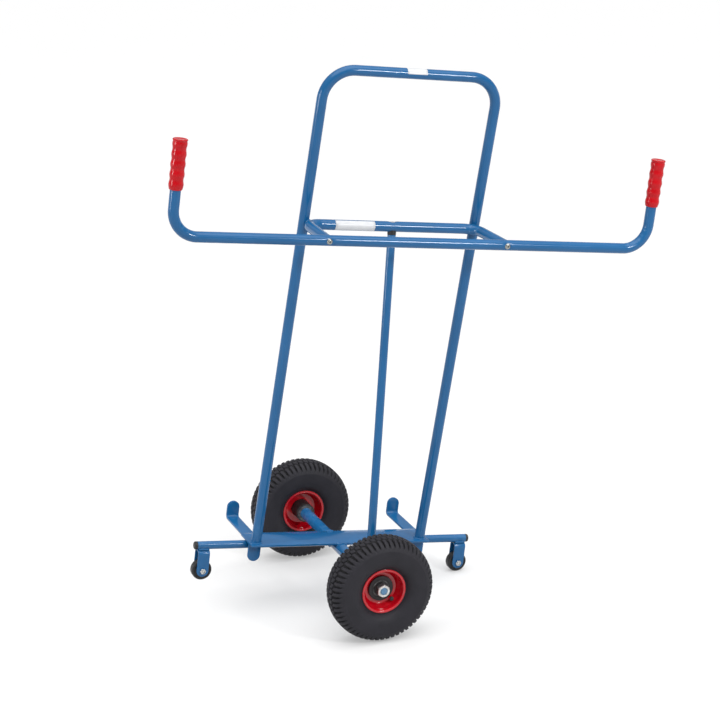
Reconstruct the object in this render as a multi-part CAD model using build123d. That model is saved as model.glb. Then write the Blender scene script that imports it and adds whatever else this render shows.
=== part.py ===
from build123d import *

import os
from math import asin, atan2, cos, degrees, hypot, radians, sin, tan

# Panel hand truck. Two pneumatic wheels turn on one cross axle, one on the operator's side and one beyond
# the load. A leaning hoop stands on a shelf that the load rests on, and a bar along the truck carries a
# fixed castor at each end, so the truck parks rocked onto one of them.
# Millimetres and degrees. X runs along the truck, Y away from the operator and Z up. Everything is drawn
# upright, with the origin on the floor under the middle of the axle, and rocked about the axle at the end.

# Fits
seat_gap = 0.05
running_gap = 0.05
screw_gap = 0.2
side_play = 0.5

# Tyre
wheel_diameter = 260.0
wheel_track = 545.0
tyre_width = 85.0
tyre_widest_diameter = 190.0
tyre_wall = 5.0
tread_width = 62.0
tread_drop = 5.0
tread_thickness = 10.0
shoulder_width = 77.0
shoulder_drop = 13.0
bead_width = 12.0
bead_lip = 1.5
groove_spacing = 22.0
groove_width = 5.0
groove_depth = 5.0
lug_count = 58
lug_gap = 4.0
lug_gap_start = 19.0
lug_gap_depth = 5.0
lug_gap_slope = 10.0

# Inner tube and valve
tube_diameter = 52.0
tube_wall = 2.0
valve_diameter = 8.0
valve_length = 16.0
valve_cap_diameter = 10.0
valve_cap_length = 8.0
valve_turn = 139.0

# Rim
rim_seat_diameter = 101.6
rim_inside_width = 50.0
rim_flange_diameter = 111.0
rim_flange_thickness = 3.0
rim_sheet = 2.5
rim_disc_diameter = 82.0
rim_seat_start = 9.0
rim_edge_round = 1.2
rim_bend_round = 3.5

# Hub, bearings and axle
hub_diameter = 48.0
hub_flange_diameter = 62.0
hub_outboard = 9.0
hub_inboard = 44.0
hub_bore = 30.0
bearing_diameter = 42.0
bearing_width = 12.0
bearing_recess = 1.0
axle_diameter = 20.0
axle_thread_diameter = 18.0
axle_overhang = 28.5
axle_grip = 70.0
axle_chamfer = 1.5
axle_washer_diameter = 37.0
axle_washer_thickness = 3.0
axle_nut_flats = 30.0
axle_nut_height = 16.0
axle_tube_diameter = 30.0

# Castor bar and castors
bar_diameter = 20.0
bar_wall = 2.0
bar_length = 720.0
bar_offset = 28.0
bar_cap_length = 8.0
bar_cap_round = 4.0
bar_cap_spigot = 14.0
castor_spacing = 688.0
castor_diameter = 50.0
castor_width = 20.0
castor_height = 68.0
castor_edge_round = 3.0
castor_bush_diameter = 18.0
castor_bush_overhang = 0.7
castor_sleeve_diameter = 12.0
castor_bolt_diameter = 8.0
castor_bolt_flats = 13.0
castor_bolt_head = 5.3
castor_nut_height = 6.5
castor_bolt_tail = 2.0
fork_width = 30.0
fork_inside = 22.0
fork_sheet = 3.0
fork_bend_round = 4.0
weld_width = 14.0
weld_height = 7.0

# Panel shelf and its strips
shelf_depth = 85.0
shelf_reach = 52.0
shelf_margin = 3.0
shelf_thickness = 5.0
shelf_corner_round = 4.0
strip_width = 32.0
strip_thickness = 6.0
strip_bend_round = 6.0
strip_reach = 24.0
strip_depth = 150.0
tongue_drop = 52.0
lip_height = 40.0
strip_end_round = 15.5

# Hoop frame
frame_tube_diameter = 25.0
frame_tube_wall = 2.0
leg_spacing = 438.0
leg_offset = 28.35
leg_lean = 5.0
hoop_height = 1345.0
hoop_bend_radius = 72.0

# Bracket, handlebar and grips
bracket_height = 966.0
bracket_reach = 156.0
bracket_corner_spacing = 436.0
bracket_bend_radius = 36.0
bracket_weld_diameter = 14.0
insert_length = 30.0
handlebar_span = 1190.0
handlebar_rise = 218.0
handlebar_bend_radius = 60.0
handlebar_screw_spacing = 447.0
handlebar_screw_diameter = 8.0
handlebar_screw_head = 14.0
handlebar_screw_head_height = 4.5
handlebar_screw_bite = 22.0
dimple_margin = 3.0
dimple_depth = 1.2
grip_length = 113.0
grip_diameter = 34.0
grip_waist_diameter = 31.0
grip_rim_diameter = 36.0
grip_rim_height = 6.0
grip_bulges = 5
grip_end = 5.0

# Brace strut
strut_diameter = 20.0
strut_wall = 2.0
strut_foot_offset = 203.0
plug_height = 7.0
plug_spigot = 26.0
strut_screw_diameter = 6.0
strut_screw_head = 12.0
strut_screw_head_height = 1.6

# Places worked out from the sizes above
axle_height = wheel_diameter / 2
frame_tube_radius = frame_tube_diameter / 2
bar_radius = bar_diameter / 2
castor_x = castor_spacing / 2
strip_top = axle_height + bar_radius + seat_gap + strip_thickness
leg_foot_height = strip_top + seat_gap
leg_foot_y = bar_offset - leg_offset
hoop_axis_height = hoop_height - frame_tube_radius
lean_slope = tan(radians(leg_lean))
bracket_splay = atan2((handlebar_screw_spacing - bracket_corner_spacing) / 2, bracket_reach)
bracket_bend_start = bracket_bend_radius * tan((radians(90) - bracket_splay) / 2)
bracket_bend_x = bracket_corner_spacing / 2 - bracket_bend_start

# The bracket's bends nest against the legs, so its back run lies just in front of them
leg_y_at_bracket = leg_foot_y - (bracket_height - leg_foot_height) * lean_slope
bend_to_leg = bracket_bend_radius + (frame_tube_diameter + seat_gap) / cos(radians(leg_lean))
bend_before_leg = (bend_to_leg**2 - (leg_spacing / 2 - bracket_bend_x) ** 2) ** 0.5
bracket_bend_y = leg_y_at_bracket - bend_before_leg
bracket_y = bracket_bend_y + bracket_bend_radius
handlebar_y = bracket_y - bracket_reach

strut_foot = Vector(0, -strut_foot_offset, axle_height)
strut_head = Vector(0, bracket_y, bracket_height)
strut_axis = (strut_head - strut_foot).normalized()
axle_shoulder = hub_outboard - bearing_recess + side_play
axle_tube_end = wheel_track / 2 - hub_inboard - side_play
fork_top = axle_height - bar_radius - seat_gap
hex_corner_ratio = 1 / cos(radians(30))

# The truck is parked with both wheels and the right castor on the floor
axle_above_castor = axle_height - castor_height
rock_angle = degrees(
    asin((axle_height - castor_diameter / 2) / hypot(castor_x, axle_above_castor))
    - atan2(axle_above_castor, castor_x)
)
parked = Pos(0, 0, axle_height) * Rot(0, rock_angle, 0) * Pos(0, 0, -axle_height)

both_sides = (-1, 1)
side_names = {-1: "left", 1: "right"}
os.makedirs("parts", exist_ok=True)


def save(name, *pieces):
    """Write one node, of one or more separate solids, in the parked pose."""
    solids = [solid for piece in pieces for solid in (parked * piece).solids()]
    export_step(Compound(children=solids) if len(solids) > 1 else solids[0], f"parts/{name}.step")


def rod(start, end, diameter):
    """Solid round bar between two points."""
    start = Vector(start)
    axis = Vector(end) - start
    return extrude(Plane(start, z_dir=axis) * Circle(diameter / 2), axis.length)


def swept_round(path, diameter):
    """Solid round bar along a path of straight runs and tangent bends."""
    return sweep(Plane(path @ 0, z_dir=path % 0) * Circle(diameter / 2), path=path)


def bent_tube(path, diameter, wall):
    """Hollow round tube along a path of straight runs and tangent bends."""
    return swept_round(path, diameter) - swept_round(path, diameter - 2 * wall)


def ring(outer_diameter, inner_diameter, start, end):
    """Ring around the Y axis between two stations."""
    profile = Pos((outer_diameter + inner_diameter) / 4, (start + end) / 2) * Rectangle(
        (outer_diameter - inner_diameter) / 2, abs(end - start)
    )
    return revolve(profile, Axis.Y)


def hex_block(flats, start, end):
    """Hexagonal block along the Y axis between two stations, one pair of corners up."""
    profile = RegularPolygon(flats / 2 * hex_corner_ratio, 6)
    return extrude(Plane((0, start, 0), x_dir=(0, 0, 1), z_dir=(0, 1, 0)) * profile, end - start)


def tyre():
    """Treaded tyre around the Y axis: open carcass, two grooves and a row of lugs on each shoulder."""
    crown = wheel_diameter / 2
    bead_face = rim_inside_width / 2 - seat_gap
    bead_top = (rim_flange_diameter / 2 + bead_lip, bead_face)
    heel = (rim_seat_diameter / 2 + seat_gap, bead_face)
    toe = (heel[0], bead_face - bead_width)
    widest = (tyre_widest_diameter / 2, tyre_width / 2)
    shoulder = (crown - shoulder_drop, shoulder_width / 2)
    tread_edge = (crown - tread_drop, tread_width / 2)
    inner_bead = (bead_top[0], bead_face - tyre_wall)
    inner_widest = (widest[0], widest[1] - tyre_wall)
    inner_shoulder = (shoulder[0] - tyre_wall, shoulder[1] - 2 * tyre_wall)
    inner_crown = (crown - tread_thickness, 0)
    half = make_face(
        [
            TangentArc((crown, 0), tread_edge, tangent=(0, 1)),
            Line(tread_edge, shoulder),
            ThreePointArc(shoulder, widest, bead_top),
            Polyline(bead_top, heel, toe, inner_bead),
            ThreePointArc(inner_bead, inner_widest, inner_shoulder),
            TangentArc(inner_crown, inner_shoulder, tangent=(0, 1)),
            Line(inner_crown, (crown, 0)),
        ]
    )
    carcass = revolve(half + mirror(half, about=Plane.XZ), Axis.Y)
    for side in both_sides:
        middle = side * groove_spacing / 2
        carcass -= ring(
            2 * (crown + groove_depth),
            2 * (crown - groove_depth),
            middle - groove_width / 2,
            middle + groove_width / 2,
        )
    run = tyre_width / 2 - lug_gap_start
    floor_start = crown - lug_gap_depth - tread_drop / 2
    gap_profile = make_face(
        Polyline(
            (floor_start, lug_gap_start),
            (crown + lug_gap_depth, lug_gap_start),
            (crown + lug_gap_depth, lug_gap_start + run),
            (floor_start - run * tan(radians(lug_gap_slope)), lug_gap_start + run),
            close=True,
        )
    )
    gap = extrude(gap_profile, lug_gap / 2, both=True)
    step = 360 / lug_count
    gaps = [Rot(0, turn * step, 0) * gap for turn in range(lug_count)]
    gaps += [Rot(0, (turn + 0.5) * step, 0) * mirror(gap, about=Plane.XZ) for turn in range(lug_count)]
    return carcass - gaps


def inner_tube():
    """Air tube around the Y axis, resting on the carcass."""
    centre = wheel_diameter / 2 - tread_thickness - seat_gap - tube_diameter / 2
    section = Circle(tube_diameter / 2) - Circle(tube_diameter / 2 - tube_wall)
    return revolve(Pos(centre, 0) * section, Axis.Y)


def rim_wall():
    """Middle of the sloping wall between the rim's disc and its bead seat, and its outward direction."""
    inner = Vector(rim_disc_diameter / 2, 0)
    outer = Vector(rim_seat_diameter / 2, rim_seat_start)
    slope = (outer - inner).normalized()
    return (inner + outer) / 2, Vector(-slope.Y, slope.X)


def valve_rod(start, end, diameter):
    """Round bar along the valve's line, between two distances from the rim wall's middle."""
    middle, outward = rim_wall()
    return rod(middle + outward * start, middle + outward * end, diameter)


def valve():
    """Rubber valve stem with its cap, from the air tube out through the rim wall."""
    stem = valve_rod(-tube_diameter / 2, valve_length - valve_cap_length, valve_diameter)
    cap = valve_rod(valve_length - valve_cap_length, valve_length, valve_cap_diameter)
    centre = wheel_diameter / 2 - tread_thickness - seat_gap - tube_diameter / 2
    air = revolve(Pos(centre, 0) * Circle(tube_diameter / 2 + seat_gap), Axis.Y)
    return stem + cap - air


def rim_half():
    """Pressed rim half around the Y axis, outboard of the wheel's middle plane."""
    bore = hub_diameter / 2 + seat_gap
    disc = rim_disc_diameter / 2
    seat = rim_seat_diameter / 2
    dish = seat - rim_sheet
    flange_inside = rim_inside_width / 2
    flange_outside = flange_inside + rim_flange_thickness
    flange = rim_flange_diameter / 2
    return revolve(
        make_face(
            FilletPolyline(
                (bore, 0),
                (disc, 0),
                (seat, rim_seat_start),
                (seat, flange_inside),
                (flange, flange_inside),
                (flange, flange_outside),
                (dish, flange_outside),
                (dish, rim_seat_start + rim_sheet / 2),
                (disc - rim_sheet / 2, rim_sheet),
                (bore, rim_sheet),
                radius=[
                    0,
                    rim_bend_round,
                    rim_bend_round,
                    0,
                    rim_edge_round,
                    rim_edge_round,
                    rim_bend_round,
                    rim_bend_round,
                    rim_bend_round,
                    0,
                ],
                close=True,
            )
        ),
        Axis.Y,
    )


def hub():
    """Hub around the Y axis: barrel, outboard flange and a bearing seat at each end."""
    seat = bearing_diameter + 2 * seat_gap
    barrel = ring(hub_diameter, hub_bore, -hub_inboard, hub_outboard)
    flange = ring(hub_flange_diameter, hub_bore, rim_sheet + seat_gap, hub_outboard)
    outer_seat = ring(seat, axle_diameter, hub_outboard - bearing_recess - bearing_width, hub_outboard)
    inner_seat = ring(seat, axle_diameter, -hub_inboard, bearing_width - hub_inboard)
    return barrel + flange - outer_seat - inner_seat


def bearings():
    """The hub's two sealed bearings."""
    bore = axle_diameter + 2 * running_gap
    outer_face = hub_outboard - bearing_recess
    return (
        ring(bearing_diameter, bore, outer_face - bearing_width, outer_face),
        ring(bearing_diameter, bore, -hub_inboard, bearing_width - hub_inboard),
    )


def stub_axle():
    """Stub axle along Y, measured from its wheel's middle plane, with a threaded end."""
    inner_end = axle_tube_end - axle_grip - wheel_track / 2
    shank = rod((0, inner_end, 0), (0, axle_shoulder, 0), axle_diameter)
    thread = rod((0, axle_shoulder, 0), (0, axle_overhang, 0), axle_thread_diameter)
    return shank + chamfer(thread.edges().group_by(Axis.Y)[-1], axle_chamfer)


def axle_washer():
    """Washer between the axle's shoulder and its nut."""
    bore = axle_thread_diameter + 2 * screw_gap
    return ring(axle_washer_diameter, bore, axle_shoulder, axle_shoulder + axle_washer_thickness)


def axle_nut():
    """Hexagonal nut on the axle's thread."""
    start = axle_shoulder + axle_washer_thickness
    block = hex_block(axle_nut_flats, start, start + axle_nut_height)
    return block - rod((0, 0, 0), (0, axle_overhang, 0), axle_thread_diameter + 2 * seat_gap)


def axle_tube():
    """Tube between the wheels, cross-drilled for the castor bar and notched for the shelf."""
    ends = (0, -axle_tube_end, axle_height), (0, axle_tube_end, axle_height)
    tube = rod(*ends, axle_tube_diameter) - rod(*ends, axle_diameter + 2 * seat_gap)
    return tube - castor_bar_round(bar_diameter + 2 * seat_gap) - shelf_plate(seat_gap)


def castor_bar_round(diameter):
    """Solid round bar along the castor bar's line."""
    ends = [(side * bar_length / 2, bar_offset, axle_height) for side in both_sides]
    return rod(*ends, diameter)


def castor_bar():
    """Bar along the truck that the castors and shelf are welded to."""
    return castor_bar_round(bar_diameter) - castor_bar_round(bar_diameter - 2 * bar_wall)


def bar_cap(side):
    """Domed end cap with a spigot inside the castor bar."""
    end = bar_length / 2
    head = rod((end, 0, 0), (end + bar_cap_length, 0, 0), bar_diameter)
    head = fillet(head.edges().group_by(Axis.X)[-1], bar_cap_round)
    spigot = rod((end - bar_cap_spigot, 0, 0), (end, 0, 0), bar_diameter - 2 * (bar_wall + seat_gap))
    turn = Rot() if side > 0 else Rot(0, 0, 180)
    return Pos(0, bar_offset, axle_height) * turn * (head + spigot)


def bar_weld(x, length, plate, into_bar):
    """Weld that fills the corners between the castor bar and a flat plate above or below it."""
    middle = plate + into_bar * weld_height / 2
    bead = Pos(x, bar_offset, middle) * Box(length, weld_width, weld_height)
    return bead - castor_bar_round(bar_diameter + 2 * seat_gap)


def shelf_plate(gap=0):
    """Flat plate from foot to foot, level with the strips' tops and grown by a gap all round."""
    length = leg_spacing + strip_width + 2 * shelf_margin
    plate = Box(length + 2 * gap, shelf_depth + 2 * gap, shelf_thickness + 2 * gap)
    plate = fillet(plate.edges().filter_by(Axis.Z), shelf_corner_round)
    return Pos(0, bar_offset - shelf_reach + shelf_depth / 2, strip_top - shelf_thickness / 2) * plate


def panel_strip(side):
    """Flat strip over the castor bar, with a tongue bent down in front and a lip bent up behind."""
    x = side * leg_spacing / 2
    front = bar_offset - strip_reach
    back = bar_offset + strip_depth
    underside = strip_top - strip_thickness
    outer_round = strip_bend_round + strip_thickness
    profile = make_face(
        Plane.YZ
        * FilletPolyline(
            (front, strip_top - tongue_drop),
            (front, strip_top),
            (back, strip_top),
            (back, strip_top + lip_height),
            (back + strip_thickness, strip_top + lip_height),
            (back + strip_thickness, underside),
            (front + strip_thickness, underside),
            (front + strip_thickness, strip_top - tongue_drop),
            radius=[0, outer_round, strip_bend_round, 0, 0, outer_round, strip_bend_round, 0],
            close=True,
        )
    )
    strip = extrude(profile, strip_width / 2, both=True)
    ends = strip.edges().filter_by(Axis.Y).group_by(Axis.Z)
    strip = fillet(ends[0] + ends[-1], strip_end_round)
    return Pos(x, 0, 0) * strip + bar_weld(x, strip_width, underside, -1)


def panel_shelf():
    """Shelf that the load stands on: the plate with a strip at each foot."""
    return shelf_plate() + [panel_strip(side) for side in both_sides]


def castor_fork(side):
    """U-shaped sheet fork with round lower ends, welded under the castor bar."""
    x = side * castor_x
    outside = fork_inside + 2 * fork_sheet
    height = fork_top - castor_height
    plate = Pos(0, height / 2) * Rectangle(fork_width, height) + Circle(fork_width / 2)
    upright = Plane((0, 0, castor_height), x_dir=(1, 0, 0), z_dir=(0, -1, 0))
    block = extrude(upright * plate, outside / 2, both=True)
    top = block.edges().filter_by(Axis.X).group_by(Axis.Z)[-1]
    block = fillet(top, fork_bend_round)
    roof = fork_top - fork_sheet
    floor = castor_height - fork_width / 2
    gap = Pos(0, 0, (roof + floor) / 2) * Box(fork_width, fork_inside, roof - floor)
    bolt_hole = rod(
        (0, -outside, castor_height), (0, outside, castor_height), castor_bolt_diameter + 2 * screw_gap
    )
    fork = Pos(x, bar_offset, 0) * (block - gap - bolt_hole)
    return fork + bar_weld(x, fork_width, fork_top, 1)


def castor_place(side):
    """Middle of a castor wheel."""
    return Pos(side * castor_x, bar_offset, castor_height)


def castor_wheel(side):
    """Solid castor wheel around its bush."""
    wheel = ring(castor_diameter, castor_bush_diameter + 2 * seat_gap, -castor_width / 2, castor_width / 2)
    rims = wheel.edges().filter_by(GeomType.CIRCLE).group_by(SortBy.RADIUS)[-1]
    return castor_place(side) * fillet(rims, castor_edge_round)


def castor_bush(side):
    """Plastic bush pressed into the castor wheel, running on the sleeve."""
    end = castor_width / 2 + castor_bush_overhang
    bore = castor_sleeve_diameter + 2 * running_gap
    return castor_place(side) * ring(castor_bush_diameter, bore, -end, end)


def castor_sleeve(side):
    """Steel sleeve clamped between the fork's plates."""
    end = fork_inside / 2
    bore = castor_bolt_diameter + 2 * screw_gap
    return castor_place(side) * ring(castor_sleeve_diameter, bore, -end, end)


def castor_bolt(side):
    """Hexagonal bolt through the fork and sleeve, with its head on the operator's side."""
    face = fork_inside / 2 + fork_sheet
    head = hex_block(castor_bolt_flats, -face - castor_bolt_head, -face)
    end = face + castor_nut_height + castor_bolt_tail
    return castor_place(side) * (head + rod((0, -face, 0), (0, end, 0), castor_bolt_diameter))


def castor_nut(side):
    """Hexagonal nut on the far side of the fork."""
    face = fork_inside / 2 + fork_sheet
    block = hex_block(castor_bolt_flats, face, face + castor_nut_height)
    bore = rod((0, 0, 0), (0, face + 2 * castor_nut_height, 0), castor_bolt_diameter + 2 * seat_gap)
    return castor_place(side) * (block - bore)


def leg_line(side):
    """Lower and upper ends of a leg's centre line, run past the foot and past the bracket."""
    x = side * leg_spacing / 2
    rise = hoop_axis_height - leg_foot_height
    start = Vector(x, leg_foot_y + frame_tube_diameter * lean_slope, leg_foot_height - frame_tube_diameter)
    return start, Vector(x, leg_foot_y - rise * lean_slope, hoop_axis_height)


def hoop_frame():
    """Legs and hoop as one bent tube, cut level at the feet."""
    start, end = leg_line(1)
    length = (end - start).length
    lean = radians(leg_lean)
    plane = Plane((0, start.Y, start.Z), x_dir=(1, 0, 0), z_dir=(0, -cos(lean), -sin(lean)))
    half = leg_spacing / 2
    path = plane * FilletPolyline(
        (-half, 0), (-half, length), (half, length), (half, 0), radius=hoop_bend_radius
    )
    tube = bent_tube(path, frame_tube_diameter, frame_tube_wall)
    return split(tube, bisect_by=Plane.XY.offset(leg_foot_height), keep=Keep.TOP)


def handlebar_path(rise):
    """Centre line of the handlebar, up to a height above its straight run."""
    plane = Plane((0, handlebar_y, bracket_height), x_dir=(1, 0, 0), z_dir=(0, -1, 0))
    half = handlebar_span / 2
    return plane * FilletPolyline(
        (-half, rise), (-half, 0), (half, 0), (half, rise), radius=handlebar_bend_radius
    )


def screw_line(side, start, end):
    """Two points on a handlebar screw's axis, at distances behind the handlebar's axis."""
    x = side * handlebar_screw_spacing / 2
    return (x, handlebar_y + start, bracket_height), (x, handlebar_y + end, bracket_height)


def handlebar():
    """Bent handlebar tube, drilled and dimpled for its screws."""
    tube = bent_tube(handlebar_path(handlebar_rise - grip_end - seat_gap), frame_tube_diameter, frame_tube_wall)
    seat = dimple_depth - frame_tube_radius
    hole = handlebar_screw_diameter + 2 * screw_gap
    dimple = handlebar_screw_head + 2 * dimple_margin
    for side in both_sides:
        tube -= rod(*screw_line(side, -frame_tube_diameter, frame_tube_diameter), hole)
        tube -= rod(*screw_line(side, -frame_tube_diameter, seat), dimple)
    return tube


def handlebar_screw(side):
    """Round-headed screw through the handlebar into the bracket's insert."""
    seat = dimple_depth - frame_tube_radius
    head = rod(*screw_line(side, seat - handlebar_screw_head_height, seat), handlebar_screw_head)
    shank = rod(*screw_line(side, seat, frame_tube_radius + handlebar_screw_bite), handlebar_screw_diameter)
    return head + shank


def grip(side):
    """Moulded grip with finger bulges, closed at the top, over an upturned handlebar end."""
    bore = frame_tube_radius + seat_gap
    waist = grip_waist_diameter / 2
    rim = grip_rim_diameter / 2
    rim_start = grip_length - grip_rim_height
    pitch = rim_start / grip_bulges
    bulges = [
        ThreePointArc(
            (waist, number * pitch), (grip_diameter / 2, (number + 0.5) * pitch), (waist, (number + 1) * pitch)
        )
        for number in range(grip_bulges)
    ]
    top = Polyline(
        (waist, rim_start),
        (rim, rim_start + grip_rim_height / 2),
        (rim, grip_length),
        (0, grip_length),
        (0, grip_length - grip_end),
        (bore, grip_length - grip_end),
        (bore, 0),
        (waist, 0),
    )
    solid = revolve(Plane.XZ * make_face([*bulges, top]), Axis.Z)
    return Pos(side * handlebar_span / 2, handlebar_y, bracket_height + handlebar_rise - grip_length) * solid


def bracket_path():
    """Centre line of the bracket, from one handlebar screw round the back to the other."""
    screw = handlebar_screw_spacing / 2
    corner = bracket_corner_spacing / 2
    return Plane((0, 0, bracket_height)) * FilletPolyline(
        (-screw, handlebar_y),
        (-corner, bracket_y),
        (corner, bracket_y),
        (screw, handlebar_y),
        radius=bracket_bend_radius,
    )


def bracket_tube():
    """Bent bracket tube, welded to the legs, shaped to the handlebar and drilled for the strut's screw."""
    tube = swept_round(bracket_path(), frame_tube_diameter)
    for side in both_sides:
        bend_centre = Vector(side * bracket_bend_x, bracket_bend_y, bracket_height)
        leg_centre = Vector(side * leg_spacing / 2, leg_y_at_bracket, bracket_height)
        bend_outside = bend_centre + (leg_centre - bend_centre).normalized() * bracket_bend_radius
        tube += rod(bend_outside, leg_centre, bracket_weld_diameter)
        tube -= rod(*leg_line(side), frame_tube_diameter + 2 * seat_gap)
    tube -= swept_round(bracket_path(), frame_tube_diameter - 2 * frame_tube_wall)
    tube -= swept_round(handlebar_path(handlebar_rise), frame_tube_diameter + 2 * seat_gap)
    tube -= rod(*strut_line(-frame_tube_diameter, frame_tube_diameter), strut_screw_diameter + 2 * screw_gap)
    return tube - rod(
        *strut_line(frame_tube_radius - dimple_depth, frame_tube_diameter),
        strut_screw_head + 2 * dimple_margin,
    )


def bracket_insert(side):
    """Threaded insert in the end of a bracket arm."""
    path = bracket_path()
    at_end, inward = (path @ 0, path % 0) if side < 0 else (path @ 1, -(path % 1))
    diameter = frame_tube_diameter - 2 * (frame_tube_wall + seat_gap)
    block = rod(at_end, at_end + inward * (frame_tube_radius + insert_length), diameter)
    block -= swept_round(handlebar_path(handlebar_rise), frame_tube_diameter + 2 * seat_gap)
    return block - rod(*screw_line(side, 0, bracket_reach / 2), handlebar_screw_diameter + 2 * seat_gap)


def strut_line(start, end):
    """Two points on the strut's axis, at distances above the bracket tube's axis."""
    return strut_head + strut_axis * start, strut_head + strut_axis * end


def strut_top():
    """Where the strut's tube ends, measured from the bracket tube's axis."""
    return -frame_tube_radius - plug_height


def brace_strut():
    """Brace tube from the plug under the bracket down to the axle tube, shaped to it."""
    ends = strut_foot, strut_head + strut_axis * strut_top()
    tube = rod(*ends, strut_diameter) - rod(*ends, strut_diameter - 2 * strut_wall)
    return tube - rod(
        (0, -axle_tube_end, axle_height),
        (0, axle_tube_end, axle_height),
        axle_tube_diameter + 2 * seat_gap,
    )


def strut_plug():
    """Plug on the strut's top, saddled under the bracket tube."""
    head = rod(*strut_line(strut_top(), 0), strut_diameter)
    head -= swept_round(bracket_path(), frame_tube_diameter + 2 * seat_gap)
    spigot_diameter = strut_diameter - 2 * (strut_wall + seat_gap)
    spigot = rod(*strut_line(strut_top() - plug_spigot, strut_top()), spigot_diameter)
    bore = rod(*strut_line(strut_top() - plug_spigot, 0), strut_screw_diameter + 2 * seat_gap)
    return head + spigot - bore


def strut_screw():
    """Round-headed screw from the bracket tube's top into the strut's plug."""
    seat = frame_tube_radius - dimple_depth
    head = rod(*strut_line(seat, seat + strut_screw_head_height), strut_screw_head)
    return head + rod(*strut_line(strut_top() - plug_spigot / 2, seat), strut_screw_diameter)


# The frame, then the pieces that are alike on the left and the right
save("hoop_frame", hoop_frame())
save("bracket_tube", bracket_tube())
save("bracket_inserts", *[bracket_insert(side) for side in both_sides])
save("handlebar", handlebar())
save("handlebar_screws", *[handlebar_screw(side) for side in both_sides])
save("brace_strut", brace_strut())
save("strut_plug", strut_plug())
save("strut_screw", strut_screw())
save("panel_shelf", panel_shelf())
save("castor_bar", castor_bar())
save("bar_end_caps", *[bar_cap(side) for side in both_sides])
save("axle_tube", axle_tube())
save("castor_bolts", *[castor_bolt(side) for side in both_sides])
save("castor_nuts", *[castor_nut(side) for side in both_sides])
save("castor_sleeves", *[castor_sleeve(side) for side in both_sides])
for side, name in side_names.items():
    save(f"grip_{name}", grip(side))
    save(f"castor_fork_{name}", castor_fork(side))
    save(f"castor_wheel_{name}", castor_wheel(side))
    save(f"castor_bush_{name}", castor_bush(side))

# Wheels, drawn with +Y outboard and turned about for the operator's side
wheel_places = {
    "near": Pos(0, -wheel_track / 2, axle_height) * Rot(0, 0, 180),
    "far": Pos(0, wheel_track / 2, axle_height),
}
valve_hole = valve_rod(-rim_sheet, valve_length, valve_diameter + 2 * seat_gap)
turned = Rot(0, valve_turn, 0)
rim_outer = rim_half() - valve_hole
rim_inner = mirror(rim_half(), about=Plane.XZ)
wheel_pieces = {
    "tyre": [tyre()],
    "inner_tube": [inner_tube()],
    "valve": [turned * valve()],
    "rim_outer": [turned * rim_outer],
    "rim_inner": [rim_inner],
    "hub": [hub()],
    "bearings": bearings(),
    "stub_axle": [stub_axle()],
}
for place_name, place in wheel_places.items():
    for piece_name, pieces in wheel_pieces.items():
        save(f"{piece_name}_{place_name}", *[place * piece for piece in pieces])
save("axle_washers", *[place * axle_washer() for place in wheel_places.values()])
save("axle_nuts", *[place * axle_nut() for place in wheel_places.values()])
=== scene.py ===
import math

import bmesh
import bpy
import numpy as np
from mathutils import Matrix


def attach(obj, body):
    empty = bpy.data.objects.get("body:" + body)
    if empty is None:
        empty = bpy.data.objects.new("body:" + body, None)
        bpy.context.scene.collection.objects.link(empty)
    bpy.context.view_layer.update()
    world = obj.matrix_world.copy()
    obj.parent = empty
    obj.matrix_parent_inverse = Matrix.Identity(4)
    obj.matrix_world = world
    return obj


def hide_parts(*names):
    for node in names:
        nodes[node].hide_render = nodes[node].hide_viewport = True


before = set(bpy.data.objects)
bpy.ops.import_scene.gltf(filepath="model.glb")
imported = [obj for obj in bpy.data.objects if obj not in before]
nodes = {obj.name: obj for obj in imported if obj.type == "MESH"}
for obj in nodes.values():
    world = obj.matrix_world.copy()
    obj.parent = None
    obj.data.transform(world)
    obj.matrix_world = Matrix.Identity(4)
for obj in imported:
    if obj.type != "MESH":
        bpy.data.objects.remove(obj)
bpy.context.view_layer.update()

# The axle tube joins the two wheels under the load. It is drawn steel tube, drilled through for the castor
# bar and notched on top for the shelf, and powder-coated blue together with everything welded to it.
mm_per_metre = 1000
axle_height = 130.0
axle_tube_radius = 15.0
axle_tube_bore = 10.1
axle_tube_end = 228.0
axle_tube_sides = 96
notch_front = -24.05
notch_back = 61.05
notch_floor = 141.0
notch_step = 0.3
notch_rows = slice(2, 4)
castor_x = 344.0
castor_height = 68.0
castor_radius = 25.0
castor_drop = axle_height - castor_height
rock = math.asin((axle_height - castor_radius) / math.hypot(castor_x, castor_drop))
rock -= math.atan2(castor_drop, castor_x)
edge_angle = 38.0
tube_sides = 48
cloud_range = (0.3, 0.7)
edge_highlight_range = (0.53, 0.62)
patch_range = (0.42, 0.62)
streak_range = (0.70, 0.78)


def park(points):
    """Upright millimetres to parked metres: a turn about the axle line that sets the right castor down."""
    x, y, z = np.moveaxis(np.asarray(points, float), -1, 0)
    rise = z - axle_height
    along = x * math.cos(rock) + rise * math.sin(rock)
    height = axle_height - x * math.sin(rock) + rise * math.cos(rock)
    return np.stack([along, y, height], -1) / mm_per_metre


def add_object(name, data):
    """An object in the scene, at the origin."""
    added = bpy.data.objects.new(name, data)
    bpy.context.scene.collection.objects.link(added)
    return added


def add_piece(name, points, faces, material):
    """An object with a smooth mesh of upright points, parked."""
    mesh = bpy.data.meshes.new(name)
    mesh.from_pydata(park(points).tolist(), [], faces)
    mesh.polygons.foreach_set("use_smooth", np.ones(len(mesh.polygons), bool))
    mesh.materials.append(material)
    return add_object(name, mesh)


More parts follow.
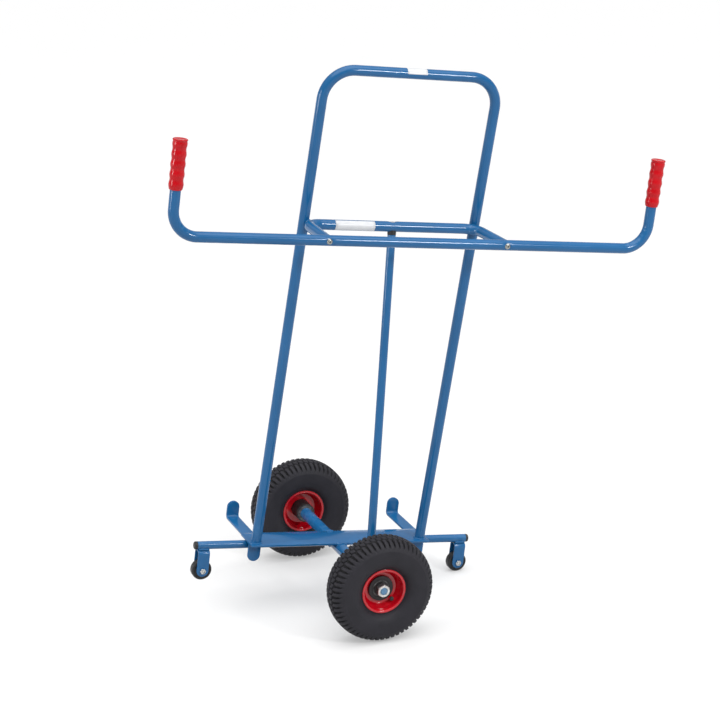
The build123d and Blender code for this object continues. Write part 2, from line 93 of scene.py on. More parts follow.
def lay_skin(name, body, material, grids, stands_for=(), sharp=edge_angle):
    """One piece from grids of upright points. A grid's rows are closed rings and each row joins the next. An
    open grid gets a flat fan to the middle of its first and last ring, a looped one joins end to start."""
    points, faces, count = [], [], 0
    for grid, looped in grids:
        rows, sides = grid.shape[:2]
        ring = np.arange(sides)
        after = (ring + 1) % sides
        start = np.arange(rows if looped else rows - 1)[:, None] * sides
        following = (start + sides) % (rows * sides)
        quads = np.stack([start + ring, start + after, following + after, following + ring], -1)
        points.append(grid.reshape(-1, 3))
        faces += (quads.reshape(-1, 4) + count).tolist()
        ends = () if looped else (count, count + (rows - 1) * sides)
        count += rows * sides
        for end, row in zip(ends, (0, -1)):
            faces += np.stack([end + ring, end + after, np.full(sides, count)], -1).tolist()
            points.append(grid[row].mean(0)[None])
            count += 1
    piece = add_piece(name, np.concatenate(points), faces, material)
    shell = bmesh.new()
    shell.from_mesh(piece.data)
    bmesh.ops.recalc_face_normals(shell, faces=shell.faces)
    shell.to_mesh(piece.data)
    shell.free()
    piece.data.set_sharp_from_angle(angle=math.radians(sharp))
    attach(piece, body)
    if stands_for:
        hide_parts(*stands_for)
    return piece


def full_turn(count):
    """Even angles once round a circle."""
    return np.linspace(0, 2 * np.pi, count, endpoint=False)


def rings(centres, across, up, radius, sides=tube_sides):
    """Circles along a line: each point is a centre plus the radius times a turn from one cross direction to
    the other. The radius is one number, one for each ring, or one for each ring and turn."""
    turn = full_turn(sides)[None, :, None]
    centres, across, up = (np.atleast_2d(rows).astype(float)[:, None] for rows in (centres, across, up))
    radius = np.asarray(radius, float)
    radius = radius.reshape(radius.shape + (1,) * (3 - radius.ndim)) if radius.ndim else radius
    return centres + radius * (np.cos(turn) * across + np.sin(turn) * up)


def hollow(outside, inside):
    """A tube's wall as one looped grid: the outside rings forwards and the inside rings back."""
    return np.concatenate([outside, inside[::-1]]), True


def set_sockets(node, values):
    """Give a shader node's inputs their values. Another node's output is linked."""
    for socket, value in values.items():
        if isinstance(value, bpy.types.NodeSocket):
            node.id_data.links.new(value, node.inputs[socket])
        else:
            node.inputs[socket].default_value = value


def add_node(tree, kind, values=None, **settings):
    """A shader node with its settings and the values of its inputs."""
    node = tree.nodes.new(kind)
    for key, value in settings.items():
        setattr(node, key, value)
    set_sockets(node, values or {})
    return node


def calculate(tree, operation, first, second):
    """Two numbers put through a math node and kept between nought and one."""
    node = add_node(tree, "ShaderNodeMath", {0: first, 1: second}, operation=operation, use_clamp=True)
    return node.outputs["Value"]


def remap(tree, number, low, high, to_low=0.0, to_high=1.0):
    """A number spread evenly from one range to another, and kept inside it."""
    limits = {"Value": number, "From Min": low, "From Max": high, "To Min": to_low, "To Max": to_high}
    return add_node(tree, "ShaderNodeMapRange", limits).outputs["Result"]


def mix(tree, factor, first, second, kind="FLOAT"):
    """Two numbers or colours mixed by a factor."""
    values = {"Factor": factor, "A": first, "B": second}
    return add_node(tree, "ShaderNodeMix", values, data_type=kind).outputs["Result"]


def noise(tree, **values):
    """The value of a noise texture."""
    return add_node(tree, "ShaderNodeTexNoise", values).outputs["Fac"]


def start_group(name, inputs, outputs):
    """An empty shader node group with named number sockets."""
    tree = bpy.data.node_groups.new(name, "ShaderNodeTree")
    number = "NodeSocketFloat"
    for socket, value in inputs.items():
        tree.interface.new_socket(socket, in_out="INPUT", socket_type=number).default_value = value
    for socket in outputs:
        tree.interface.new_socket(socket, in_out="OUTPUT", socket_type=number)
    return tree, add_node(tree, "NodeGroupInput"), add_node(tree, "NodeGroupOutput")


def surface_grain():
    """Fine grain for a height, and slow clouds for colour and gloss: two noises of Object coordinates."""
    tree, given, result = start_group("surface_grain", {"Grain": 900.0, "Cloud": 9.0}, ("Height", "Clouds"))
    place = add_node(tree, "ShaderNodeTexCoord").outputs["Object"]
    for size, output, detail in (("Grain", "Height", 2.0), ("Cloud", "Clouds", 4.0)):
        spots = noise(tree, Vector=place, Scale=given.outputs[size], Detail=detail, Roughness=0.55)
        set_sockets(result, {output: spots})
    return tree


def rub_and_edge_highlight():
    """Where a finish is lighter: sharp edges by the mesh's own pointiness, broken up by a coarse noise, which
    is painted edge highlight as well as rubbed paint, and short scratches where a noise that is stretched
    along the truck rises over a limit."""
    tree, given, result = start_group("rub_and_edge_highlight", {"Edges": 0.5, "Scratches": 0.5}, ("Mask",))
    place = add_node(tree, "ShaderNodeTexCoord").outputs["Object"]
    shape = add_node(tree, "ShaderNodeNewGeometry")
    stretch = {"Vector": place, "Rotation": (0.3, 0.5, 0.2), "Scale": (25.0, 900.0, 420.0)}
    stretched = add_node(tree, "ShaderNodeMapping", stretch).outputs["Vector"]
    # Sharp edges are made lighter by their pointiness: painted edge highlight, as well as rubbed paint.
    edge = remap(tree, shape.outputs["Pointiness"], *edge_highlight_range)
    patches = remap(tree, noise(tree, Vector=place, Scale=60.0, Detail=5.0, Roughness=0.7), *patch_range)
    streaks = remap(tree, noise(tree, Vector=stretched, Scale=1.0, Detail=2.0), *streak_range)
    worn_and_highlight = calculate(tree, "MULTIPLY", calculate(tree, "MULTIPLY", edge, patches), given.outputs["Edges"])
    scratched = calculate(tree, "MULTIPLY", streaks, given.outputs["Scratches"])
    set_sockets(result, {"Mask": calculate(tree, "MAXIMUM", worn_and_highlight, scratched)})
    return tree


grain_group = surface_grain()
rub_and_highlight_group = rub_and_edge_highlight()


def finish(name, deep, bright, worn_and_highlight, grain=900.0, cloud=9.0, bump=0.05, rough=(0.25, 0.35), edges=0.5,
           scratches=0.4, worn_rough=0.45, **fixed):
    """A painted, moulded or plated finish: two tones mixed by slow clouds, a third on sharp edges and
    scratches, which is rubbed paint and painted edge highlight, gloss that follows both, and the fine grain
    as a bump. Fixed values go on the shader's own sockets."""
    material = bpy.data.materials.new(name)
    material.use_nodes = True
    tree = material.node_tree
    surface = add_node(tree, "ShaderNodeGroup", {"Grain": grain, "Cloud": cloud}, node_tree=grain_group)
    rub_and_highlight_node = add_node(tree, "ShaderNodeGroup", {"Edges": edges, "Scratches": scratches}, node_tree=rub_and_highlight_group)
    clouds, mask = surface.outputs["Clouds"], rub_and_highlight_node.outputs["Mask"]
    tone = mix(tree, remap(tree, clouds, *cloud_range), (*deep, 1), (*bright, 1), "RGBA")
    heights = {"Strength": bump, "Distance": 0.001, "Height": surface.outputs["Height"]}
    sockets = {socket.replace("_", " "): value for socket, value in fixed.items()}
    # The third colour goes on sharp edges and scratches: rubbed paint and painted edge highlight.
    sockets["Base Color"] = mix(tree, mask, tone, (*worn_and_highlight, 1), "RGBA")
    sockets["Roughness"] = mix(tree, mask, remap(tree, clouds, *cloud_range, *rough), worn_rough)
    sockets["Normal"] = add_node(tree, "ShaderNodeBump", heights).outputs["Normal"]
    set_sockets(tree.nodes["Principled BSDF"], sockets)
    return material


powder_blue = finish("powder_blue", deep=(0.006, 0.094, 0.248), bright=(0.011, 0.114, 0.292),
                     worn_and_highlight=(0.08, 0.22, 0.42), bump=0.03, rough=(0.15, 0.20), scratches=0.06,
                     Specular_IOR_Level=0.24, Coat_Weight=0.25, Coat_Roughness=0.04)


def lay_painted(name, grids, node, sharp=edge_angle):
    """A piece of the painted frame in the place of a CAD node."""
    lay_skin(name, "frame", powder_blue, grids, [node], sharp)


axle_rows = np.array([-axle_tube_end, notch_front - notch_step, notch_front, notch_back,
                      notch_back + notch_step, axle_tube_end])
axle_line = axle_rows[:, None] * (0, 1, 0) + (0, 0, axle_height)
axle_walls = [rings(axle_line, (1, 0, 0), (0, 0, 1), radius, axle_tube_sides)
              for radius in (axle_tube_radius, axle_tube_bore)]
axle_walls[0][notch_rows, :, 2] = np.minimum(axle_walls[0][notch_rows, :, 2], notch_floor)
lay_painted("axle_tube_skin", [hollow(*axle_walls)], "axle_tube")

# The castor bar runs along the truck through the axle tube: a thinner steel tube in the same blue coat,
# welded where it crosses, with a black plastic cap knocked into each end.
bar_radius = 10.0
bar_bore = 8.0
bar_end = 360.0
bar_y = 28.0
tube_rows = 12
turned_sides = 64
arc_steps = 6
steep = 0.9
nearly_straight = 1e-6
cap_length = 8.0
cap_round = 4.0
cap_depth = 12.0
plug_gap = 0.2
plug_edge = 0.6
plug_tip = 1.5
core_radius = 1.0
weld_radius = 2.6
weld_pitch = 3.2
weld_least = 0.88
weld_swell = 0.22
weld_taper = 6
weld_tip = 0.02
weld_sides = 14
weld_steps = 120
weld_edge_angle = 80.0
crossing_turn = (-220, 40)
crossing_radius = bar_radius + 1.0
crossing_lean = 0.5
both_sides = (-1, 1)


def unit(vector):
    """A vector, or each row of vectors, at length one."""
    vector = np.asarray(vector, float)
    return vector / np.linalg.norm(vector, axis=-1, keepdims=True)


def cross_frame(axis):
    """An axis at length one and two directions across it, square to each other."""
    axis = unit(axis)
    across = unit(np.cross(axis, (0, 0, 1) if abs(axis[2]) < steep else (1, 0, 0)))
    return axis, across, np.cross(axis, across)


def straight_tube(start, end, outer, inner):
    """Wall of a straight tube between two points."""
    start, end = np.asarray(start, float), np.asarray(end, float)
    _, across, up = cross_frame(end - start)
    line = start + np.linspace(0, 1, tube_rows)[:, None] * (end - start)
    return hollow(rings(line, across, up, outer), rings(line, across, up, inner))


def walk(route):
    """Distance of each point of a route from its start."""
    return np.concatenate([[0], np.cumsum(np.linalg.norm(np.diff(route, axis=0), axis=1))])


def weld_bead(path, outward, closed=False, radius=weld_radius):
    """A weld bead: circles along a path whose radius swells and drops once in each pitch, like a row of laid
    coins, and tapers almost to nothing at the ends of an open path."""
    path = np.asarray(path, float)
    along = unit(np.roll(path, -1, 0) - np.roll(path, 1, 0) if closed else np.gradient(path, axis=0))
    outward = np.broadcast_to(np.asarray(outward, float), path.shape)
    outward = unit(outward - (outward * along).sum(1, keepdims=True) * along)
    walked = walk(path)
    ripple = (walked / weld_pitch) % 1
    size = radius * (weld_least + weld_swell * np.sqrt(1 - (2 * ripple - 1) ** 2))
    if not closed:
        share = np.abs(2 * walked / walked[-1] - 1)
        size = size * np.sqrt(np.maximum(1 - share**weld_taper, weld_tip))
    return rings(path, outward, np.cross(along, outward), size, weld_sides), closed


def lay_welds(name, beads):
    """The beads of a seam on the frame, smooth over their ripples."""
    lay_skin(name, "frame", powder_blue, beads, sharp=weld_edge_angle)


def turned_grid(centre, axis, profile, sides=turned_sides, spin=0.0):
    """A turned or hexagonal piece about an axis. Each profile row is a round radius, a hexagon's corner
    radius and a station. A ring's radius is the smaller of the circle's and the hexagon's at that turn."""
    axis, across, up = cross_frame(axis)
    round_radius, corner_radius, station = np.asarray(profile, float).T[:, :, None]
    turn = full_turn(sides)[None]
    sixth = math.pi / 3
    flat = math.cos(sixth / 2) / np.cos(turn % sixth - sixth / 2)
    radius = np.minimum(round_radius, corner_radius * flat)
    centres = np.asarray(centre, float) + station * axis
    offsets = np.cos(turn + spin)[..., None] * across + np.sin(turn + spin)[..., None] * up
    return centres[:, None] + radius[..., None] * offsets


def lathe(centre, axis, outline, sides=turned_sides, looped=False):
    """A round turned piece from rows of radius and station."""
    profile = [(radius, 2 * radius, station) for radius, station in outline]
    return turned_grid(centre, axis, profile, sides), looped


def rounded(corners, radius, steps=arc_steps):
    """Outline through corners with each inner corner replaced by an arc: points go from one tangent point to
    the other by turning the first direction towards the second."""
    corners = np.asarray(corners, float)
    radius = np.broadcast_to(radius, len(corners) - 2)
    line = [corners[:1]]
    for before, corner, following, bend in zip(corners, corners[1:], corners[2:], radius):
        inward, leaving = unit(corner - before), unit(following - corner)
        angle = math.acos(np.clip(inward @ leaving, -1, 1))
        if bend <= 0 or angle < nearly_straight:
            line.append(corner[None])
            continue
        side = unit(leaving - (leaving @ inward) * inward)
        turn = np.linspace(0, angle, steps + 1)[:, None]
        start = corner - inward * bend * math.tan(angle / 2)
        line.append(start + bend * (np.sin(turn) * inward + (1 - np.cos(turn)) * side))
    line.append(corners[-1:])
    return np.concatenate(line)


def plug_outline(head_radius, top, seat, bore, depth, head_round):
    """Outline of a plug in a tube's end: a head with a round edge, and a stem just under the bore."""
    stem = bore - plug_gap
    corners = [(core_radius, top), (head_radius, top), (head_radius, seat), (stem, seat),
               (stem, seat - depth), (core_radius, seat - depth)]
    return rounded(corners, [head_round, plug_edge, 0, plug_tip])


bar_ends = [(side * bar_end, bar_y, axle_height) for side in both_sides]
lay_painted("castor_bar_skin", [straight_tube(*bar_ends, bar_radius, bar_bore)], "castor_bar")
under_turn = np.radians(np.linspace(*crossing_turn, weld_steps))
crossing = np.stack([np.sqrt(axle_tube_radius**2 - (bar_radius * np.sin(under_turn)) ** 2),
                     bar_y + crossing_radius * np.cos(under_turn),
                     axle_height + crossing_radius * np.sin(under_turn)], -1)
crossing_out = np.stack([np.full_like(under_turn, crossing_lean), np.cos(under_turn), np.sin(under_turn)], -1)
lay_welds("bar_crossing_welds", [weld_bead(crossing * mirror, crossing_out * mirror)
                                 for mirror in np.array([(1, 1, 1), (-1, 1, 1)])])
black_plastic = finish("black_plastic", deep=(0.012, 0.012, 0.013), bright=(0.022, 0.022, 0.024),
                       worn_and_highlight=(0.07, 0.07, 0.07), grain=1500.0, cloud=30.0, bump=0.15, rough=(0.42, 0.55),
                       Specular_IOR_Level=0.35)
cap_outline = plug_outline(bar_radius, cap_length, 0, bar_bore, cap_depth, cap_round)
lay_skin("bar_end_cap_domes", "frame", black_plastic,
         [lathe(end, (side, 0, 0), cap_outline) for end, side in zip(bar_ends, both_sides)],
         ["bar_end_caps"])

# The shelf carries the load: a flat steel plate from foot to foot, let into the axle tube, over a strip at
# each foot that is bent down to a round-ended tongue in front and up to a lip behind. The strips lie on the
# castor bar. All of it is welded together and has the same blue coat.
strip_x = 219.0
strip_half_width = 16.0
strip_thickness = 6.0
strip_bend = 9.0
strip_top = 146.05
strip_sink = 0.25
strip_front = 4.0
strip_back = 178.0
strip_pace = 12.0
tongue_bottom = strip_top - 52.0
lip_top = strip_top + 40.0
strip_end_round = 15.5
strip_edge_round = 1.0
flat_bend_steps = 10
flat_end_turns = np.linspace(0.12, np.pi / 2, 12)
flat_edge_steps = 4
corner_signs = np.array([(1, 1), (-1, 1), (-1, -1), (1, -1)])
shelf_half_length = 238.0
shelf_front = -24.0
shelf_back = 61.0
shelf_thickness = 5.0
shelf_corner = 4.0
shelf_corner_steps = 7
shelf_edge_round = 0.8
bar_weld_steps = 60
bar_weld_y = 8.6
strip_weld_half = 15.0
strip_weld_height = axle_height + 7.6
plate_weld_half = 12.5
plate_weld_out = 0.6
plate_weld_radius = 3.0
axle_weld_radius = axle_tube_radius + 0.4


def points_along(route, stations):
    """Points of a route at distances from its start."""
    walked = walk(route)
    return np.stack([np.interp(stations, walked, column) for column in route.T], -1)


def bent_flat(x, route, half_width, end_round, thickness, edge_round):
    """Flat bar bent along a route in the upright Y-Z plane: a rectangle with round edges carried along it,
    whose half width follows a circle over the last stretch to each end."""
    walked = walk(route)
    end_rows = end_round * (1 - np.cos(flat_end_turns))
    middle = walked[(walked > end_round) & (walked < walked[-1] - end_round)]
    station = np.concatenate([end_rows, middle, walked[-1] - end_rows[::-1]])
    points = points_along(route, station)
    along = unit(np.gradient(points, station, axis=0))
    to_end = np.minimum(np.minimum(station, walked[-1] - station), end_round)
    half = half_width - end_round + np.sqrt(end_round**2 - (end_round - to_end) ** 2)
    corner = np.linspace(0, np.pi / 2, flat_edge_steps)
    arc = np.stack([np.cos(corner), np.sin(corner)], -1)
    sign = np.repeat(corner_signs, len(arc), axis=0)
    reach = np.concatenate([arc, arc[::-1], arc, arc[::-1]])
    edge = np.minimum(edge_round, half[:, None] / 2)
    wide = sign[:, 0] * (half[:, None] - edge + edge * reach[:, 0])
    thick = sign[:, 1] * (thickness / 2 - edge + edge * reach[:, 1])
    across = np.stack([-along[:, 1], along[:, 0]], -1)
    y = points[:, :1] + thick * across[:, :1]
    z = points[:, 1:] + thick * across[:, 1:]
    return np.stack([x + wide, y, z], -1), False


def slab(centre, half_length, half_depth, thickness, corner_round, edge_round):
    """Flat plate: a rectangle with round corners, drawn in along a quarter circle at its lower and upper
    edge."""
    quarter = np.radians(np.linspace(0, 90, shelf_corner_steps))
    turn = np.concatenate([quarter + start for start in np.radians((0, 90, 180, 270))])
    corner = np.repeat(corner_signs, len(quarter), axis=0)
    corner_place = corner * (half_length - corner_round, half_depth - corner_round)
    bend = np.linspace(0, np.pi / 2, flat_edge_steps)
    drawn_in = edge_round * (1 - np.sin(bend))
    height = edge_round * (1 - np.cos(bend))
    radius = corner_round - np.concatenate([drawn_in, drawn_in[::-1]])
    rise = np.concatenate([height, thickness - height[::-1]]) - thickness / 2
    flat = corner_place + radius[:, None, None] * np.stack([np.cos(turn), np.sin(turn)], -1)
    rise = np.broadcast_to(rise[:, None, None], (*flat.shape[:2], 1))
    return np.asarray(centre, float) + np.concatenate([flat, rise], -1), False


def bent_route(corners, bend, steps, pace):
    """A route with an arc at each inner corner, and points on its straight runs at every pace."""
    route = rounded(corners, bend, steps)
    walked = walk(route)
    return points_along(route, np.union1d(walked, np.arange(0, walked[-1], pace)))


def along_bar(x, half_length, side, height):
    """Path of a weld bead along the castor bar."""
    line = np.linspace(-half_length, half_length, bar_weld_steps)[:, None]
    return line * (1, 0, 0) + np.array([x, bar_y + side * bar_weld_y, height])


strip_middle = strip_thickness / 2
strip_level = strip_top - strip_sink - strip_middle
strip_corners = [(strip_front + strip_middle, tongue_bottom), (strip_front + strip_middle, strip_level),
                 (strip_back + strip_middle, strip_level), (strip_back + strip_middle, lip_top)]
strip_route = bent_route(strip_corners, strip_bend, flat_bend_steps, strip_pace)
strips = [bent_flat(side * strip_x, strip_route, strip_half_width, strip_end_round, strip_thickness,
                    strip_edge_round) for side in both_sides]
plate = slab((0, (shelf_front + shelf_back) / 2, strip_top - shelf_thickness / 2), shelf_half_length,
             (shelf_back - shelf_front) / 2, shelf_thickness, shelf_corner, shelf_edge_round)
lay_painted("panel_shelf_bent", [plate, *strips], "panel_shelf")
shelf_welds = [weld_bead(along_bar(side * strip_x, strip_weld_half, edge, strip_weld_height), (0, edge, 1))
               for side in both_sides for edge in both_sides]
over_axle = np.linspace(-plate_weld_half, plate_weld_half, bar_weld_steps)
over_height = axle_height + np.sqrt(axle_weld_radius**2 - over_axle**2)
for edge, side in zip((shelf_front, shelf_back), both_sides):
    path = np.stack([over_axle, np.full_like(over_axle, edge + plate_weld_out * side), over_height], -1)
    shelf_welds.append(weld_bead(path, (0, side, 1), radius=plate_weld_radius))
lay_welds("shelf_welds", shelf_welds)

# The hoop is one long steel tube bent twice: two legs that lean back from the load and the carrying bow
# between them. Its ends are sawn level and welded all round onto the shelf.
frame_radius = 12.5
frame_bore = 10.5
frame_walls = (frame_radius, frame_bore)
leg_x = 219.0
leg_foot = 146.1
leg_foot_y = -0.35
leg_lean = math.radians(5)
leg_weld_radius = 2.0
leg_weld_ring = frame_radius + 0.6
hoop_top = 1332.5
hoop_bend = 72.0
hoop_pace = 60.0
tube_bend_steps = 16


def bent_rings(route, normal, radius, sides=tube_sides):
    """Rings along a bent route in one plane: the plane's normal and the direction across it carry each
    circle."""
    along = unit(np.gradient(route, axis=0))
    normal = np.broadcast_to(np.asarray(normal, float), route.shape)
    return rings(route, normal, np.cross(along, normal), radius, sides)


def u_corners(end, corner):
    """Corners of a U that is alike left and right, from its left end to its right end."""
    half = np.array([corner, end], float)
    return np.concatenate([half[::-1] * (-1, 1, 1), half])


leg_end = np.array([leg_x, leg_foot_y, leg_foot])
leg_rise = (hoop_top - leg_foot) / math.cos(leg_lean)
leg_up = np.array([0, -math.sin(leg_lean), math.cos(leg_lean)])
hoop_front = np.array([0, -math.cos(leg_lean), -math.sin(leg_lean)])
hoop_corners = u_corners(leg_end, leg_end + leg_up * leg_rise)
hoop_route = bent_route(hoop_corners, hoop_bend, tube_bend_steps, hoop_pace)
hoop_walls = [bent_rings(hoop_route, hoop_front, radius) for radius in frame_walls]
for wall in hoop_walls:
    for foot in (0, -1):
        wall[foot, :, 1] -= (leg_foot - wall[foot, :, 2]) * math.tan(leg_lean)
        wall[foot, :, 2] = leg_foot
lay_painted("hoop_tube", [hollow(*hoop_walls)], "hoop_frame")
round_turn = full_turn(weld_steps)[:, None]
leg_ring = np.cos(round_turn) * (1, 0, 0) + np.sin(round_turn) * (0, 1, 0)
lay_welds("leg_foot_welds",
          [weld_bead(np.array([side * leg_x, leg_foot_y, strip_top]) + leg_weld_ring * leg_ring,
                     leg_ring + (0, 0, 1), True, leg_weld_radius) for side in both_sides])

# The bracket holds the handlebar out towards the operator: a U of the same tube whose bends nest against the
# legs and are welded to them, with arms that end in saddles behind the handlebar.
bracket_height = 966.0
bracket_y = -85.69
bracket_corner_x = 218.0
bracket_bend = 36.0
bracket_bend_x = 183.247
bracket_weld_reach = 8.2
bracket_weld_dip = 1.2
bracket_weld_radius = 3.0
handlebar_y = -241.69
screw_x = 223.5
dent_depth = 2.2
dent_reach = 13.0
dent_pace = 4.0
dented_sides = 64
strut_foot = np.array([0, -203.0, axle_height])
strut_head = np.array([0, bracket_y, bracket_height])
strut_axis = unit(strut_head - strut_foot)


def dented(route, normal, radius, dents):
    """A tube pressed in under its screws: the radius drops by a smooth hump around each dent, by its distance
    along the tube and round it. A dent is a point of the route and a turn."""
    turn = full_turn(dented_sides)
    size = np.full((len(route), dented_sides), radius)
    for place, angle in dents:
        along = np.linalg.norm(route - place, axis=1)[:, None]
        around = radius * np.abs((turn - angle + np.pi) % (2 * np.pi) - np.pi)[None]
        share = np.minimum(np.hypot(along, around) / dent_reach, 1)
        size = size - dent_depth * (1 + np.cos(np.pi * share)) / 2
    return bent_rings(route, normal, size, dented_sides)


bracket_corners = u_corners((screw_x, handlebar_y, bracket_height),
                            (bracket_corner_x, bracket_y, bracket_height))
bracket_route = bent_route(bracket_corners, bracket_bend, tube_bend_steps, dent_pace)
bracket_dents = [(strut_head, -math.atan2(strut_axis[1], strut_axis[2]))]
bracket_walls = [dented(bracket_route, (0, 0, 1), radius, bracket_dents) for radius in frame_walls]
for wall in bracket_walls:
    for end in (0, -1):
        offset = np.clip(np.abs(wall[end, :, 2] - bracket_height), 0, frame_radius)
        wall[end, :, 1] = handlebar_y + np.sqrt(frame_radius**2 - offset**2)
lay_painted("bracket_bend_tube", [hollow(*bracket_walls)], "bracket_tube")
leg_y = leg_foot_y - (bracket_height - leg_foot) * math.tan(leg_lean)
bracket_welds = []
for side in both_sides:
    bend_centre = np.array([side * bracket_bend_x, bracket_y - bracket_bend, bracket_height])
    to_leg = unit(np.array([side * leg_x, leg_y, bracket_height]) - bend_centre)
    middle = bend_centre + to_leg * (bracket_bend + frame_radius)
    offsets = np.cos(round_turn) * np.cross(to_leg, (0, 0, 1)) + np.sin(round_turn) * (0, 0, 1)
    path = middle + bracket_weld_reach * offsets - to_leg * bracket_weld_dip * np.sin(round_turn) ** 2
    bracket_welds.append(weld_bead(path, offsets, True, bracket_weld_radius))
lay_welds("bracket_leg_welds", bracket_welds)
plain_steel = finish("plain_steel", deep=(0.30, 0.30, 0.31), bright=(0.42, 0.42, 0.43),
                     worn_and_highlight=(0.55, 0.55, 0.55), grain=2200.0, cloud=120.0, bump=0.08, rough=(0.32, 0.45),
                     Metallic=1.0)


def dress(names, material):
    """Give CAD nodes that keep their own shape a finish."""
    for name in names:
        nodes[name].data.materials.clear()
        nodes[name].data.materials.append(material)


dress(["bracket_inserts"], plain_steel)

# The brace strut props the bracket's back run from the axle tube: a thin blue tube, welded round its foot,
# with a black plastic plug on top that saddles the bracket and takes a screw from above.
strut_radius = 10.0
strut_bore = 8.0
strut_start = 6.0
strut_weld_ring = strut_radius + 0.8
strut_weld_lean = 6.0
plug_top = -8.4
plug_foot = -19.5
plug_depth = 20.0
plug_head_radius = strut_radius + 0.4
plug_head_round = 1.0
strut_seat_rise = 10.6
strut_screw_radius = 6.0
strut_screw_height = 1.6
strut_screw_socket = 2.3
strut_line = [strut_foot + strut_axis * strut_start, strut_head + strut_axis * plug_foot]
strut_wall, _ = straight_tube(*strut_line, strut_radius, strut_bore)
for row in (0, -1):
    ring = strut_wall[row]
    lift = np.sqrt(axle_tube_radius**2 - np.minimum(np.abs(ring[:, 0]), strut_radius) ** 2) + axle_height
    strut_wall[row] = ring + strut_axis * ((lift - ring[:, 2]) / strut_axis[2])[:, None]
lay_painted("brace_strut_tube", [(strut_wall, True)], "brace_strut")
strut_front = np.array([0, -strut_axis[2], strut_axis[1]])
strut_ring = strut_weld_ring * (np.cos(round_turn) * (1, 0, 0) + np.sin(round_turn) * strut_front)
foot_lift = np.sqrt(axle_weld_radius**2 - strut_ring[:, 0] ** 2) - strut_ring[:, 2]
foot_path = strut_foot + strut_ring + strut_axis * (foot_lift / strut_axis[2])[:, None]
lay_welds("strut_foot_weld", [weld_bead(foot_path, strut_ring + (0, 0, strut_weld_lean), True)])
plug_rows = plug_outline(plug_head_radius, plug_top, plug_foot, strut_bore, plug_depth, plug_head_round)
plug_skin, _ = lathe(strut_head, strut_axis, plug_rows)
saddle = np.maximum(frame_radius**2 - (plug_skin[..., 1] - bracket_y) ** 2, 0) ** 0.5
plug_skin[..., 2] = np.minimum(plug_skin[..., 2], bracket_height - saddle)
lay_skin("strut_top_plug", "frame", black_plastic, [(plug_skin, False)], ["strut_plug"])
bright_zinc = finish("bright_zinc", deep=(0.50, 0.51, 0.51), bright=(0.66, 0.67, 0.66),
                     worn_and_highlight=(0.76, 0.76, 0.74), grain=2600.0, cloud=260.0, rough=(0.24, 0.36), Metallic=1.0)
dome_turns = np.linspace(0, 1.25, 9)
dome_bevel = 0.6
socket_rim = 1.15
socket_rows = (0.1, 0.75)
head_sides = 72


def button_head(centre, axis, radius, height, socket):
    """Domed screw head: an ellipse from its rim to its crown, and a hexagon socket sunk into the crown."""
    dome = [(radius * math.cos(turn), 2 * radius, height * math.sin(turn)) for turn in dome_turns]
    crown = height * math.sin(dome_turns[-1])
    well = [(socket * socket_rim, 2 * socket, crown)]
    well += [(2 * socket, socket, crown - share * height) for share in socket_rows]
    under = [(radius - dome_bevel, 2 * radius, -dome_bevel)]
    return turned_grid(centre, axis, under + dome + well, head_sides), False


strut_seat = strut_head + strut_axis * strut_seat_rise
strut_button = button_head(strut_seat, strut_axis, strut_screw_radius, strut_screw_height, strut_screw_socket)
lay_skin("strut_screw_head", "frame", bright_zinc, [strut_button], ["strut_screw"])

# The handlebar is one wide steel tube, turned up at both ends, screwed to the bracket's arms from the front.
# The tube is pressed in where each screw's head sits.
handlebar_half = 595.0
handlebar_rise = 218.0
handlebar_bend = 60.0
handlebar_bend_steps = 18
grip_cover = 5.05
screw_radius = 7.0
screw_height = 4.2
screw_socket = 3.4
screw_sunk = 1.4
screw_seat = handlebar_y - frame_radius + screw_sunk
bar_tip = bracket_height + handlebar_rise - grip_cover
handlebar_corners = u_corners((handlebar_half, handlebar_y, bar_tip),
                              (handlebar_half, handlebar_y, bracket_height))
handlebar_route = bent_route(handlebar_corners, handlebar_bend, handlebar_bend_steps, dent_pace)
screw_dents = [((side * screw_x, handlebar_y, bracket_height), 0.0) for side in both_sides]
handlebar_walls = [dented(handlebar_route, (0, -1, 0), radius, screw_dents) for radius in frame_walls]
lay_painted("handlebar_tube", [hollow(*handlebar_walls)], "handlebar")
# A darker copy of the bright zinc for the handlebar's screws: painted shade where they sit in the tube's
# dents.
shaded_zinc = finish("shaded_zinc", deep=(0.24, 0.25, 0.24), bright=(0.38, 0.39, 0.37), worn_and_highlight=(0.55, 0.55, 0.53),
                   grain=2600.0, cloud=300.0, rough=(0.2, 0.3), Metallic=1.0)
screw_heads = [button_head((side * screw_x, screw_seat, bracket_height), (0, -1, 0), screw_radius,
                           screw_height, screw_socket) for side in both_sides]
lay_skin("handlebar_screw_heads", "frame", shaded_zinc, screw_heads, ["handlebar_screws"])

# Each grip is soft red vinyl, pushed over the tube's upturned end: a sleeve with finger bulges, drawn in at
# its mouth, and a flat flared top.
grip_length = 113.0
grip_waist = 15.4
grip_bulge = 17.0
grip_bulges = 5
grip_rows = 90
grip_draw = 0.8
grip_top_radius = 17.3
grip_top_height = 5.5
grip_flare = np.linspace(0, 1, 8)[1:]
grip_flare_power = 1.6
grip_edge = 2.2
grip_edge_turns = np.linspace(0, np.pi / 2, 6)[1:]
grip_dish = [(grip_top_radius - 4, grip_length - 0.1), (grip_top_radius - 6, grip_length - 0.9),
             (core_radius, grip_length - 1.0)]
grip_wall = 6.0
grip_bore = frame_radius + 0.05
ends = {"left": -1, "right": 1}


